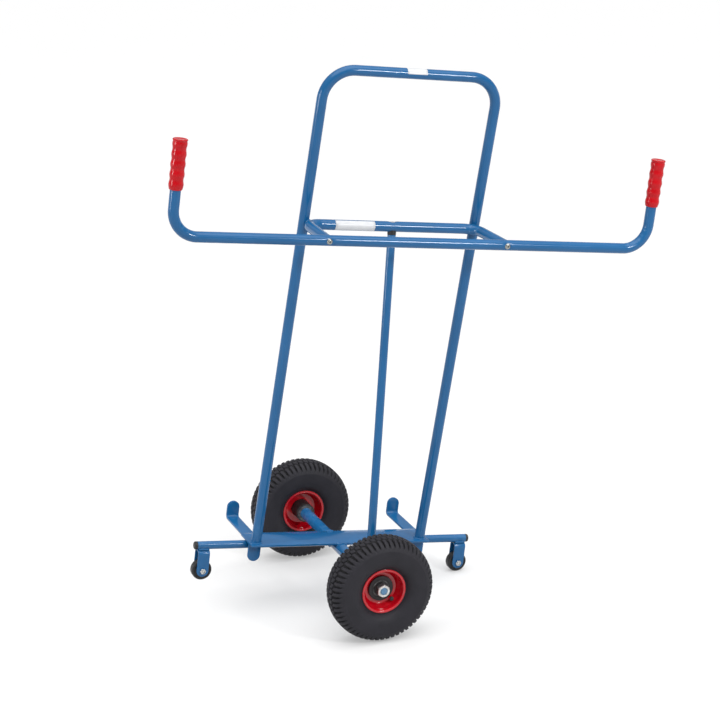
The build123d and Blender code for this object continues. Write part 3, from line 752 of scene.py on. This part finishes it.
def grip_outline():
    """Radius along the sleeve: one hump of a squared sine for each finger, drawn in at the mouth, and a flare
    from the last hump that rises to the flat top and closes over it with a round edge."""
    station = np.linspace(0, grip_length - grip_top_height, grip_rows)
    hump = np.sin(np.pi * grip_bulges * station / grip_length) ** 2
    radius = grip_waist + (grip_bulge - grip_waist) * hump - grip_draw * np.exp(-station)
    body = np.stack([radius, station], -1)
    flare = np.stack([radius[-1] + (grip_top_radius - radius[-1]) * grip_flare**grip_flare_power,
                      station[-1] + (grip_top_height - grip_edge) * grip_flare], -1)
    lip = np.stack([grip_top_radius + grip_edge * (np.cos(grip_edge_turns) - 1),
                    grip_length + grip_edge * (np.sin(grip_edge_turns) - 1)], -1)
    inside = [(grip_bore, 0), (grip_bore, grip_length - grip_wall), (core_radius, grip_length - grip_wall)]
    return np.concatenate([inside, body, flare, lip, grip_dish])


red_vinyl = finish("red_vinyl", deep=(0.43, 0.001, 0.005), bright=(0.52, 0.002, 0.008),
                   worn_and_highlight=(0.58, 0.03, 0.04), grain=1300.0, cloud=45.0, bump=0.04, rough=(0.16, 0.22),
                   edges=0.1, scratches=0.04, Specular_IOR_Level=0.16, Coat_Weight=0.2, Coat_Roughness=0.1)
for word, side in ends.items():
    foot = (side * handlebar_half, handlebar_y, bracket_height + handlebar_rise - grip_length)
    lay_skin(f"grip_{word}_sleeve", "frame", red_vinyl, [lathe(foot, (0, 0, 1), grip_outline(), head_sides)],
             [f"grip_{word}"])

# Under each end of the castor bar hangs a fixed castor: a fork bent from steel sheet and welded to the bar,
# and a hard black wheel on a sleeve, held by a plated bolt and nut.
fork_half_width = 15.0
fork_inside = 22.0
fork_sheet = 3.0
fork_top = axle_height - bar_radius - 0.05
fork_bend = 9.5
fork_pace = 5.0
fork_edge_round = 0.6
fork_edge_angle = 60.0
fork_weld_half = 14.0
fork_weld_height = axle_height - 7.8
castor_half = 10.0
castor_bore = 9.05
castor_dip = castor_half - 1.6
castor_shoulder = castor_half - 1.5
castor_side_radii = (castor_bore, 13.5, 15.0, 19.0, 20.5, castor_radius)
castor_side_widths = (castor_half, castor_half, castor_dip, castor_dip, castor_half, castor_shoulder)
castor_bends = [0.5, 0.8, 0.8, 1.2, 3.0]
bolt_flats = 13.0
bolt_radius = 4.0
bolt_pitch = 1.25
bolt_sides = 36
bolt_head_height = 5.3
bolt_head_dish = 0.82
bolt_head_sunk = 3.0
nut_height = 6.5
bolt_tail = nut_height + 2.0
corner_ratio = 1 / math.cos(math.pi / 6)
hex_face = 0.95
hex_bevel = 0.16
hex_groove = ((1.0, 0.0), (0.9, 1.0), (0.6, 1.0), (0.5, 0.25))
thread_rows = 8
thread_depth = 0.55
thread_bevel = 0.5
fork_middle = fork_inside / 2 + fork_sheet / 2
fork_foot = castor_height - fork_half_width
fork_level = fork_top - fork_sheet / 2
fork_corners = [(bar_y - fork_middle, fork_foot), (bar_y - fork_middle, fork_level),
                (bar_y + fork_middle, fork_level), (bar_y + fork_middle, fork_foot)]
fork_route = bent_route(fork_corners, fork_bend, flat_bend_steps, fork_pace)
castor_black = finish("castor_black", deep=(0.010, 0.010, 0.011), bright=(0.024, 0.024, 0.025),
                      worn_and_highlight=(0.09, 0.085, 0.08), grain=1100.0, cloud=60.0, bump=0.12, rough=(0.38, 0.52),
                      Specular_IOR_Level=0.35)
castor_side = np.stack([castor_side_radii, castor_side_widths], -1)
castor_outline = rounded(np.concatenate([castor_side * (1, -1), castor_side[::-1]]),
                         castor_bends + castor_bends[::-1])
fork_face = fork_inside / 2 + fork_sheet
bolt_corner = bolt_flats / 2 * corner_ratio


def hex_head(centre, axis, corner, height, spin=0.0, dish=0.66, sunk=2.0):
    """Hexagon head or nut: a hexagon cut by a cone at each end, which rounds off its corners, and a round
    groove sunk into its top about a button, drawn by shares of the dish's radius and depth."""
    inner = corner / corner_ratio * hex_face
    rise = hex_bevel * corner
    rows = [(inner, corner, 0), (corner, corner, rise), (corner, corner, height - rise),
            (inner, corner, height)]
    rows += [(inner * dish * wide, corner, height - sunk * deep) for wide, deep in hex_groove]
    return turned_grid(centre, axis, rows, head_sides, spin), False


def threaded_end(centre, axis, radius, length, pitch, sides=tube_sides):
    """Screw thread: the radius falls and rises once in each pitch along the axis and once in each turn, so
    the ridge climbs as a helix, and the tip is bevelled."""
    station = np.linspace(0, length, int(length / pitch * thread_rows))
    turn = np.linspace(0, 1, sides, endpoint=False)
    wave = np.abs((station[:, None] / pitch - turn) % 1 * 2 - 1)
    tip = radius - pitch * thread_bevel + (length - station[:, None])
    size = np.minimum(radius - thread_depth * pitch * wave, tip)
    grid = turned_grid(centre, axis, [(1, 2, place) for place in station], sides)
    centres = grid.mean(1, keepdims=True)
    return centres + (grid - centres) * size[..., None], False


front = np.array([0, -1.0, 0])
bolt_heads, bolt_tails, nuts = [], [], []
for word, side in ends.items():
    centre = np.array([side * castor_x, bar_y, castor_height])
    fork = bent_flat(centre[0], fork_route, fork_half_width, fork_half_width, fork_sheet, fork_edge_round)
    beads = [weld_bead(along_bar(centre[0], fork_weld_half, edge, fork_weld_height), (0, edge, -1))
             for edge in both_sides]
    lay_painted(f"castor_fork_{word}_bent", [fork, *beads], f"castor_fork_{word}", fork_edge_angle)
    lay_skin(f"castor_wheel_{word}_turned", f"{word}_castor", castor_black,
             [lathe(centre, (0, 1, 0), castor_outline, head_sides, True)], [f"castor_wheel_{word}"])
    bolt_heads.append(hex_head(centre + front * fork_face, front, bolt_corner, bolt_head_height,
                               dish=bolt_head_dish, sunk=bolt_head_sunk))
    bolt_tails.append(threaded_end(centre - front * fork_face, -front, bolt_radius, bolt_tail, bolt_pitch,
                                   bolt_sides))
    nuts.append(hex_head(centre - front * fork_face, -front, bolt_corner, nut_height))
lay_skin("castor_bolt_set", "frame", bright_zinc, bolt_heads + bolt_tails, ["castor_bolts"])
lay_skin("castor_nut_set", "frame", bright_zinc, nuts, ["castor_nuts"])
dress(["castor_sleeves"], plain_steel)
dress(["castor_bush_left", "castor_bush_right"], castor_black)

# The tyres are pneumatic rubber with a moulded tread: three zigzag grooves with a row of small blocks between
# each two, and a row of lugs over each shoulder. A black air tube inside feeds a valve through the rim.
wheel_half_track = 272.5
tyre_radius = 130.0
tyre_section_radius = 92.0
tyre_half_width = 42.5
tyre_edge_angle = 50.0
section_power = 2.6
section_steps = 4001
bead_turn = math.radians(149)
lug_count = 58
lug_pitch = 2 * np.pi * tyre_radius / lug_count
steps_per_lug = 11
tread_rows = 118
crown_spacing = 0.6
half_lug = 0.5
groove_place = 16.0
groove_half = 2.2
groove_swing = 1.5
groove_depth = 4.8
groove_wall = 1.3
slit_half = 0.9
slit_shift = 0.3
slit_depth = 3.6
slot_half = 2.8
slot_end_half = 1.8
slot_start = 2.0
slot_depth = 5.2
narrow_from = 22.0
narrow_run = 20.0
slot_slant = 0.01
lug_end = 48.0
lug_fade = 12.0
raised_line = 53.0
raised_height = 1.0
sunk_line = 84.0
sunk_depth = 0.6
line_width = 1.3
tyre_inside = np.array([(51.0, 24.9), (51.0, 13.0), (57.0, 20.0), (95.0, 36.5), (113.0, 28.0), (119.0, 0.0)])
# Depths of the tread's relief over which the rubber darkens: painted shade in the grooves.
groove_shade_depths = (1.4, 3.4)
speckle_gain = 1.6
wheels = {"near": -1, "far": 1}


def tyre_section():
    """Outside of the tyre's section from bead to bead, in rows that are closest at the crown: a squared
    ellipse round a point inside the tyre. Gives rows of radius and width, distances from the crown and
    outward normals."""
    turn = np.linspace(-bead_turn, bead_turn, section_steps)
    waves = np.stack([np.cos(turn), np.sin(turn)], -1)
    squared = np.sign(waves) * np.abs(waves) ** (2 / section_power)
    reach = np.array([tyre_radius - tyre_section_radius, tyre_half_width])
    section = squared * reach + (tyre_section_radius, 0)
    length = walk(section)[-1]
    share = np.linspace(-1, 1, tread_rows)
    station = length / 2 * (1 + share * (crown_spacing + (1 - crown_spacing) * share**2))
    rows = points_along(section, station)
    along = unit(np.gradient(rows, axis=0))
    return rows, station - length / 2, np.stack([along[:, 1], -along[:, 0]], -1)


def cut(distance, half_width):
    """One inside a groove of a half width, nought outside, with a sloping wall between."""
    return np.clip(0.5 - (distance - half_width) / groove_wall, 0, 1)


def from_half(phase):
    """How far a phase is from the middle of its turn, as a share of the turn."""
    return np.abs(phase % 1 - 0.5)


def zigzag(phase):
    """A wave of straight runs between one, at whole turns, and minus one, half way."""
    return 4 * from_half(phase) - 1


def tread_relief(distance, turn):
    """Depth of the moulded pattern below the section: the deepest of the grooves, which zigzag once in each
    lug, the slits between small blocks, and the slots between shoulder lugs, which slant and run out."""
    distance = distance[:, None]
    beside = np.abs(distance)
    phase = turn[None] * lug_count / (2 * np.pi)
    lug_phase = phase + half_lug * (distance > 0)
    middle = cut(np.abs(distance - groove_swing * zigzag(phase)), groove_half)
    outer = cut(np.abs(beside - groove_place + groove_swing * zigzag(lug_phase)), groove_half)
    slits = cut(from_half(lug_phase + slit_shift) * lug_pitch, slit_half) * cut(beside, groove_place)
    slant = slot_slant * (beside - groove_place)
    narrowed = np.clip((beside - narrow_from) / narrow_run, 0, 1)
    half = slot_half + (slot_end_half - slot_half) * narrowed
    run_out = np.clip((lug_end - beside) / lug_fade, 0, 1)
    run_out = run_out * np.clip((beside - groove_place) / slot_start, 0, 1)
    slots = run_out * cut(from_half(lug_phase + slant) * lug_pitch, half)
    grooves = groove_depth * np.maximum(middle, outer)
    return np.maximum(np.maximum(grooves, slit_depth * slits), slot_depth * slots)


def tyre_grid(outboard):
    """Tyre skin: the section turned round the axle with the tread's relief sunk along its normals, a thin
    moulded line raised and one sunk on each sidewall, and a plain inside from bead to bead."""
    section, distance, normal = tyre_section()
    turn = full_turn(lug_count * steps_per_lug)
    relief = tread_relief(distance, turn)
    beside = np.abs(distance)
    raised, sunk = (np.exp(-(((beside - line) / line_width) ** 2)) for line in (raised_line, sunk_line))
    height = (raised_height * raised - sunk_depth * sunk)[:, None] - relief
    outside = section[:, None] + height[..., None] * normal[:, None]
    inner = np.concatenate([tyre_inside, tyre_inside[-2::-1] * (1, -1)])
    inside = np.broadcast_to(inner[:, None], (len(inner), len(turn), 2))
    radius, width = np.moveaxis(np.concatenate([outside, inside]), -1, 0)
    grid = np.stack([radius * np.cos(turn), outboard * (wheel_half_track + width),
                     axle_height + radius * np.sin(turn)], -1)
    return grid, np.concatenate([relief, np.zeros((len(inner), len(turn)))])


def toned(material, attribute, limits, colour, metal=False):
    """Mix a finish towards another colour by the piece's own attribute, between a low and a high value of it,
    broken up by a fine speckle. Where asked, it turns to metal by the same attribute."""
    tree = material.node_tree
    shader = tree.nodes["Principled BSDF"]
    plain = shader.inputs["Base Color"].links[0].from_socket
    place = add_node(tree, "ShaderNodeTexCoord").outputs["Object"]
    level = add_node(tree, "ShaderNodeAttribute", attribute_name=attribute).outputs["Fac"]
    speckle = noise(tree, Vector=place, Scale=160.0, Detail=4.0)
    share = calculate(tree, "MULTIPLY", remap(tree, level, *limits, to_high=speckle_gain), speckle)
    set_sockets(shader, {"Base Color": mix(tree, share, plain, (*colour, 1), "RGBA")})
    if metal:
        set_sockets(shader, {"Metallic": remap(tree, level, *limits)})
    return material


def mark(piece, attribute, values):
    """Store a number for each point of a piece's mesh."""
    piece.data.attributes.new(attribute, "FLOAT", "POINT").data.foreach_set("value", values)


# The tread rubber turns darker where the moulded relief is deep: painted shade in the grooves, slits and
# slots.
tyre_black = toned(finish("tread_rubber", deep=(0.014, 0.0135, 0.018), bright=(0.022, 0.021, 0.027),
                          worn_and_highlight=(0.052, 0.050, 0.054), grain=1400.0, cloud=26.0, bump=0.25, rough=(0.52, 0.66),
                          edges=0.35, scratches=0.12, worn_rough=0.75, Specular_IOR_Level=0.24),
                   "relief", groove_shade_depths, (0.006, 0.006, 0.007))
for word, outboard in wheels.items():
    skin, relief = tyre_grid(outboard)
    tyre = lay_skin(f"tyre_{word}_treaded", f"{word}_wheel", tyre_black, [(skin, True)], [f"tyre_{word}"],
                    tyre_edge_angle)
    mark(tyre, "relief", relief.ravel())
tube_black = finish("tube_black", deep=(0.010, 0.010, 0.010), bright=(0.020, 0.020, 0.020),
                    worn_and_highlight=(0.06, 0.06, 0.06), grain=1200.0, cloud=40.0, bump=0.1, rough=(0.45, 0.6))
dress(["inner_tube_near", "inner_tube_far"], tube_black)

# Each rim is two steel pressings, back to back, with a rolled lip, a stepped dish and a flat middle that the
# hub fills. They are painted glossy red.
rim_sides = 96
rim_edge_angle = 50.0
rim_corners = [(55.5, 26.4), (55.5, 28.0), (50.0, 28.0), (48.3, 24.0), (47.6, 13.0), (43.6, 8.0), (39.4, 2.5),
               (24.1, 2.5), (24.1, 0.0), (41.0, 0.0), (50.8, 9.0), (50.8, 25.0), (55.5, 25.0), (55.5, 26.4)]
rim_bends = [1.5, 1.9, 3.0, 3.0, 3.0, 3.0, 0.3, 0, 2.0, 2.0, 0, 1.2]
rim_outline = rounded(rim_corners, rim_bends)[:-1]
rim_red = finish("rim_red", deep=(0.44, 0.001, 0.008), bright=(0.55, 0.003, 0.012), worn_and_highlight=(0.60, 0.08, 0.08),
                 grain=700.0, cloud=20.0, bump=0.02, rough=(0.14, 0.20), edges=0.2, scratches=0.05,
                 Specular_IOR_Level=0.3, Coat_Weight=0.6, Coat_Roughness=0.05)
for word, outboard in wheels.items():
    middle = (0, outboard * wheel_half_track, axle_height)
    for half, direction in (("outer", outboard), ("inner", -outboard)):
        lay_skin(f"rim_{half}_{word}_pressed", f"{word}_wheel", rim_red,
                 [lathe(middle, (0, direction, 0), rim_outline, rim_sides, True)], [f"rim_{half}_{word}"],
                 rim_edge_angle)

# The valve is a black rubber stem, moulded onto the air tube and pulled through a hole in the rim's sloping
# wall, with a ribbed plastic cap screwed on.
valve_turn = math.radians(139)
valve_sides = 48
valve_ribs = 12
valve_rib_depth = 0.03
valve_cap_start = 8.2
valve_corners = [(core_radius, -6), (5.4, -6), (5.4, 2.5), (4.0, 5.5), (4.0, 8), (5, 8.4), (5, 15.4),
                 (core_radius, 16)]
valve_bends = [0.5, 1.0, 0.5, 0, 0.4, 1.5]
rim_wall_radius = 45.9
rim_wall_width = 4.5
rim_wall_slope = math.atan2(9.0, 9.8)
valve_outline = rounded(valve_corners, valve_bends)
for word, outboard in wheels.items():
    radial = np.array([outboard * math.cos(valve_turn), 0, -math.sin(valve_turn)])
    outward = np.array([0, float(outboard), 0])
    seat = radial * rim_wall_radius + outward * (wheel_half_track + rim_wall_width) + (0, 0, axle_height)
    line = outward * math.cos(rim_wall_slope) - radial * math.sin(rim_wall_slope)
    stem, _ = lathe(seat, line, valve_outline, valve_sides)
    stem_middle = stem.mean(1, keepdims=True)
    on_cap = ((stem_middle - seat) @ line > valve_cap_start)[..., None]
    ribs = 1 + valve_rib_depth * on_cap * np.cos(valve_ribs * full_turn(valve_sides))[None, :, None]
    lay_skin(f"valve_{word}_stem", f"{word}_wheel", tube_black,
             [(stem_middle + (stem - stem_middle) * ribs, False)], [f"valve_{word}"])

# The hub is black moulded plastic pressed through both rim halves, with a sealed bearing at each end. The
# wheel runs on a stub axle that the frame's blue coat covers thinly, under a black washer and a forged
# hexagon nut that is dark on its flats and faced bright.
hub_corners = [(21.1, 8.6), (21.6, 9.0), (31.0, 9.0), (31.0, 2.6), (24.0, 2.55), (24.0, -44.0), (21.1, -44.0),
               (21.1, -32.0), (15.0, -32.0), (15.0, -4.0), (21.1, -4.0), (21.1, 8.6)]
hub_bends = [0, 1.4, 0.4, 0, 1.0, 0.3, 0, 0, 0, 0]
hub_outline = rounded(hub_corners, hub_bends)[:-1]
axle_radius = 10.0
axle_inner_end = -114.5
axle_shoulder = 8.5
axle_tip = 28.5
axle_bends = [1.0, 0.3, 0]
thread_radius = 9.0
thread_start = axle_shoulder + 1.0
thread_pitch = 2.5
washer_bore = 9.2
washer_radius = 18.5
washer_thickness = 3.0
washer_round = 0.5
nut_corner = 15.0 * corner_ratio
nut_spin = math.pi / 6
axle_nut_height = 16.0
first_faced_row = 3
faced_limits = (0.2, 0.6)
sealed_bearing = finish("sealed_bearing", deep=(0.020, 0.020, 0.022), bright=(0.04, 0.04, 0.042),
                        worn_and_highlight=(0.3, 0.3, 0.3), grain=1800.0, cloud=150.0, rough=(0.35, 0.5))
black_washer = finish("black_washer", deep=(0.012, 0.012, 0.013), bright=(0.026, 0.026, 0.028),
                      worn_and_highlight=(0.14, 0.14, 0.14), grain=1600.0, cloud=90.0, bump=0.06, rough=(0.36, 0.5))
thin_blue = finish("thin_blue", deep=(0.05, 0.16, 0.31), bright=(0.10, 0.23, 0.38), worn_and_highlight=(0.32, 0.36, 0.40),
                   grain=1500.0, cloud=160.0, bump=0.06, rough=(0.26, 0.36), edges=0.6, scratches=0.3)
shank = rounded([(core_radius, axle_inner_end), (axle_radius, axle_inner_end), (axle_radius, axle_shoulder),
                 (thread_radius, axle_shoulder), (thread_radius, thread_start)], axle_bends)
washer = rounded([(washer_bore, 0), (washer_radius, 0), (washer_radius, washer_thickness),
                  (washer_bore, washer_thickness), (washer_bore, 0)], washer_round)[:-1]
washers, axle_nuts = [], []
for word, outboard in wheels.items():
    middle = np.array([0, outboard * wheel_half_track, axle_height])
    axis = np.array([0, float(outboard), 0])
    seat = middle + axis * axle_shoulder
    lay_skin(f"hub_{word}_moulded", f"{word}_wheel", black_plastic,
             [lathe(middle, axis, hub_outline, head_sides, True)], [f"hub_{word}"])
    thread = threaded_end(seat, axis, thread_radius, axle_tip - axle_shoulder, thread_pitch)
    lay_skin(f"stub_axle_{word}_turned", "frame", thin_blue, [lathe(middle, axis, shank, tube_sides), thread],
             [f"stub_axle_{word}"])
    washers.append(lathe(seat, axis, washer, looped=True))
    axle_nuts.append(hex_head(seat + axis * washer_thickness, axis, nut_corner, axle_nut_height, nut_spin))
lay_skin("axle_washer_set", "frame", black_washer, washers, ["axle_washers"])
forged_nut = toned(finish("forged_nut", deep=(0.050, 0.051, 0.054), bright=(0.070, 0.071, 0.075),
                          worn_and_highlight=(0.3, 0.3, 0.3), grain=1500.0, cloud=200.0, bump=0.08, rough=(0.30, 0.40),
                          Specular_IOR_Level=0.3), "faced", faced_limits, (0.72, 0.72, 0.70), metal=True)
nut_set = lay_skin("axle_nut_set", "frame", forged_nut, axle_nuts, ["axle_nuts"])
faced_rows = [(np.arange(len(grid)) >= first_faced_row).repeat(grid.shape[1]) for grid, _ in axle_nuts]
faced = np.concatenate([np.append(rows, (False, True)) for rows in faced_rows])
mark(nut_set, "faced", faced.astype(float))
dress(["bearings_near", "bearings_far"], sealed_bearing)

# Two plain white stickers are wrapped on the tubes after painting, one on the hoop's bow and one on the
# bracket's back run. They are thin glossy film with square corners.
sticker_lift = 0.12
sticker_film = sticker_lift / 2
sticker_rows = 12
sticker_columns = 25
hoop_y = leg_foot_y - (hoop_top - leg_foot) * math.tan(leg_lean)
hoop_sticker_place = (3.5, hoop_y, hoop_top)
hoop_sticker_half = 25.0
hoop_sticker_turn = (2, 118)
bracket_sticker_place = (-98.0, bracket_y, bracket_height)
bracket_sticker_half = 50.0
bracket_sticker_turn = (-52, 72)
sticker_white = finish("sticker_white", deep=(0.60, 0.61, 0.63), bright=(0.66, 0.67, 0.68),
                       worn_and_highlight=(0.55, 0.55, 0.55), grain=1500.0, cloud=70.0, bump=0.03, rough=(0.30, 0.42),
                       edges=0.2, scratches=0.05)


def wrap_sticker(name, place, half_length, turns):
    """Film wrapped on a tube that runs along the truck: an arc of a slightly larger circle, from a low to a
    high angle above the operator's side, drawn out along the tube and given its thickness by Solidify."""
    angle = np.radians(np.linspace(*turns, sticker_columns))
    along = np.linspace(-half_length, half_length, sticker_rows)[:, None]
    radius = frame_radius + sticker_lift
    spread = np.broadcast_arrays(along, -radius * np.cos(angle), radius * np.sin(angle))
    grid = np.asarray(place, float) + np.stack(spread, -1)
    start = (np.arange(sticker_rows - 1)[:, None] * sticker_columns + np.arange(sticker_columns - 1)).ravel()
    quads = np.stack([start, start + sticker_columns, start + sticker_columns + 1, start + 1], -1)
    piece = add_piece(name, grid.reshape(-1, 3), quads.tolist(), sticker_white)
    film = piece.modifiers.new("film", "SOLIDIFY")
    film.thickness = sticker_film / mm_per_metre
    film.offset = 0
    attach(piece, "frame")


wrap_sticker("hoop_sticker", hoop_sticker_place, hoop_sticker_half, hoop_sticker_turn)
wrap_sticker("bracket_sticker", bracket_sticker_place, bracket_sticker_half, bracket_sticker_turn)

# The truck stands on a wide white studio floor, under a sky that is brightest overhead and hazed white low
# down. A broad glow lights it from above, a box lamp from the front right and a tall one from the left. The
# camera looks down on it from the operator's side.
floor_reach = 300.0
paper_glow = 0.33
haze_heights = (0.08, 0.13)
sky_strength = (0.12, 1.05)


def showing_rays(tree):
    """One for camera, glossy and transmission rays, which show the background, and nought for others."""
    path = add_node(tree, "ShaderNodeLightPath")
    shown = path.outputs["Is Camera Ray"]
    for kind in ("Is Glossy Ray", "Is Transmission Ray"):
        shown = calculate(tree, "MAXIMUM", shown, path.outputs[kind])
    return shown


floor_corners = [(x * floor_reach, y * floor_reach, 0.0) for x, y in ((-1, -1), (1, -1), (1, 1), (-1, 1))]
floor_mesh = bpy.data.meshes.new("studio_floor")
floor_mesh.from_pydata(floor_corners, [], [(0, 1, 2, 3)])
floor = add_object("studio_floor", floor_mesh)
paper = bpy.data.materials.new("studio_paper")
paper.use_nodes = True
shown_glow = calculate(paper.node_tree, "MULTIPLY", showing_rays(paper.node_tree), paper_glow)
set_sockets(paper.node_tree.nodes["Principled BSDF"],
            {"Base Color": (0.5, 0.5, 0.5, 1), "Roughness": 0.9, "Specular IOR Level": 0.1,
             "Emission Color": (1, 1, 1, 1), "Emission Strength": shown_glow})
floor_mesh.materials.append(paper)

world = bpy.data.worlds.new("studio")
bpy.context.scene.world = world
world.use_nodes = True
sky = world.node_tree
sky_place = add_node(sky, "ShaderNodeTexCoord").outputs["Generated"]
sky_height = add_node(sky, "ShaderNodeSeparateXYZ", {"Vector": sky_place}).outputs["Z"]
low_sky = remap(sky, sky_height, *haze_heights, 1.0, 0.0)
haze = calculate(sky, "MULTIPLY", low_sky, showing_rays(sky))
strength = mix(sky, haze, remap(sky, sky_height, 0.0, 1.0, *sky_strength), 1.0)
set_sockets(sky.nodes["Background"], {"Color": (1, 1, 1, 1), "Strength": strength})


def hang_lamp(name, place, aim, width, depth, power):
    """A rectangular soft lamp at a place, turned to face a point."""
    lamp = bpy.data.lights.new(name, "AREA")
    lamp.shape = "RECTANGLE"
    lamp.size, lamp.size_y, lamp.energy = width, depth, power
    hung = add_object(name, lamp)
    facing = np.array(aim, float) - np.array(place, float)
    flat = math.hypot(facing[0], facing[1])
    hung.location = place
    hung.rotation_euler = (math.atan2(flat, -facing[2]), 0, math.atan2(facing[1], facing[0]) - math.pi / 2)


overhead = bpy.data.lights.new("overhead_glow", "SUN")
overhead.energy = 1.9
overhead.angle = math.radians(70)
add_object("overhead_glow", overhead).rotation_euler = (math.radians(12), 0, 0)
hang_lamp("front_box", place=(1.8, -3.2, 2.4), aim=(0.0, -0.2, 0.95), width=0.7, depth=0.55, power=60)
hang_lamp("side_box", place=(-3.6, -0.2, 1.5), aim=(-0.4, -0.2, 1.0), width=0.6, depth=1.4, power=42)

camera_focus = 2284.445
picture_side = 720
camera_azimuth = math.radians(21.804)
camera_elevation = math.radians(18.28)
camera_data = bpy.data.cameras.new("photo_camera")
camera_data.sensor_width = 36.0
camera_data.lens = camera_data.sensor_width * camera_focus / picture_side
camera = add_object("photo_camera", camera_data)
camera.location = (-1.896914, -4.88794, 2.347208)
camera.rotation_euler = (math.pi / 2 - camera_elevation, 0, -camera_azimuth)
bpy.context.scene.camera = camera
bpy.context.scene.view_settings.view_transform = "Standard"
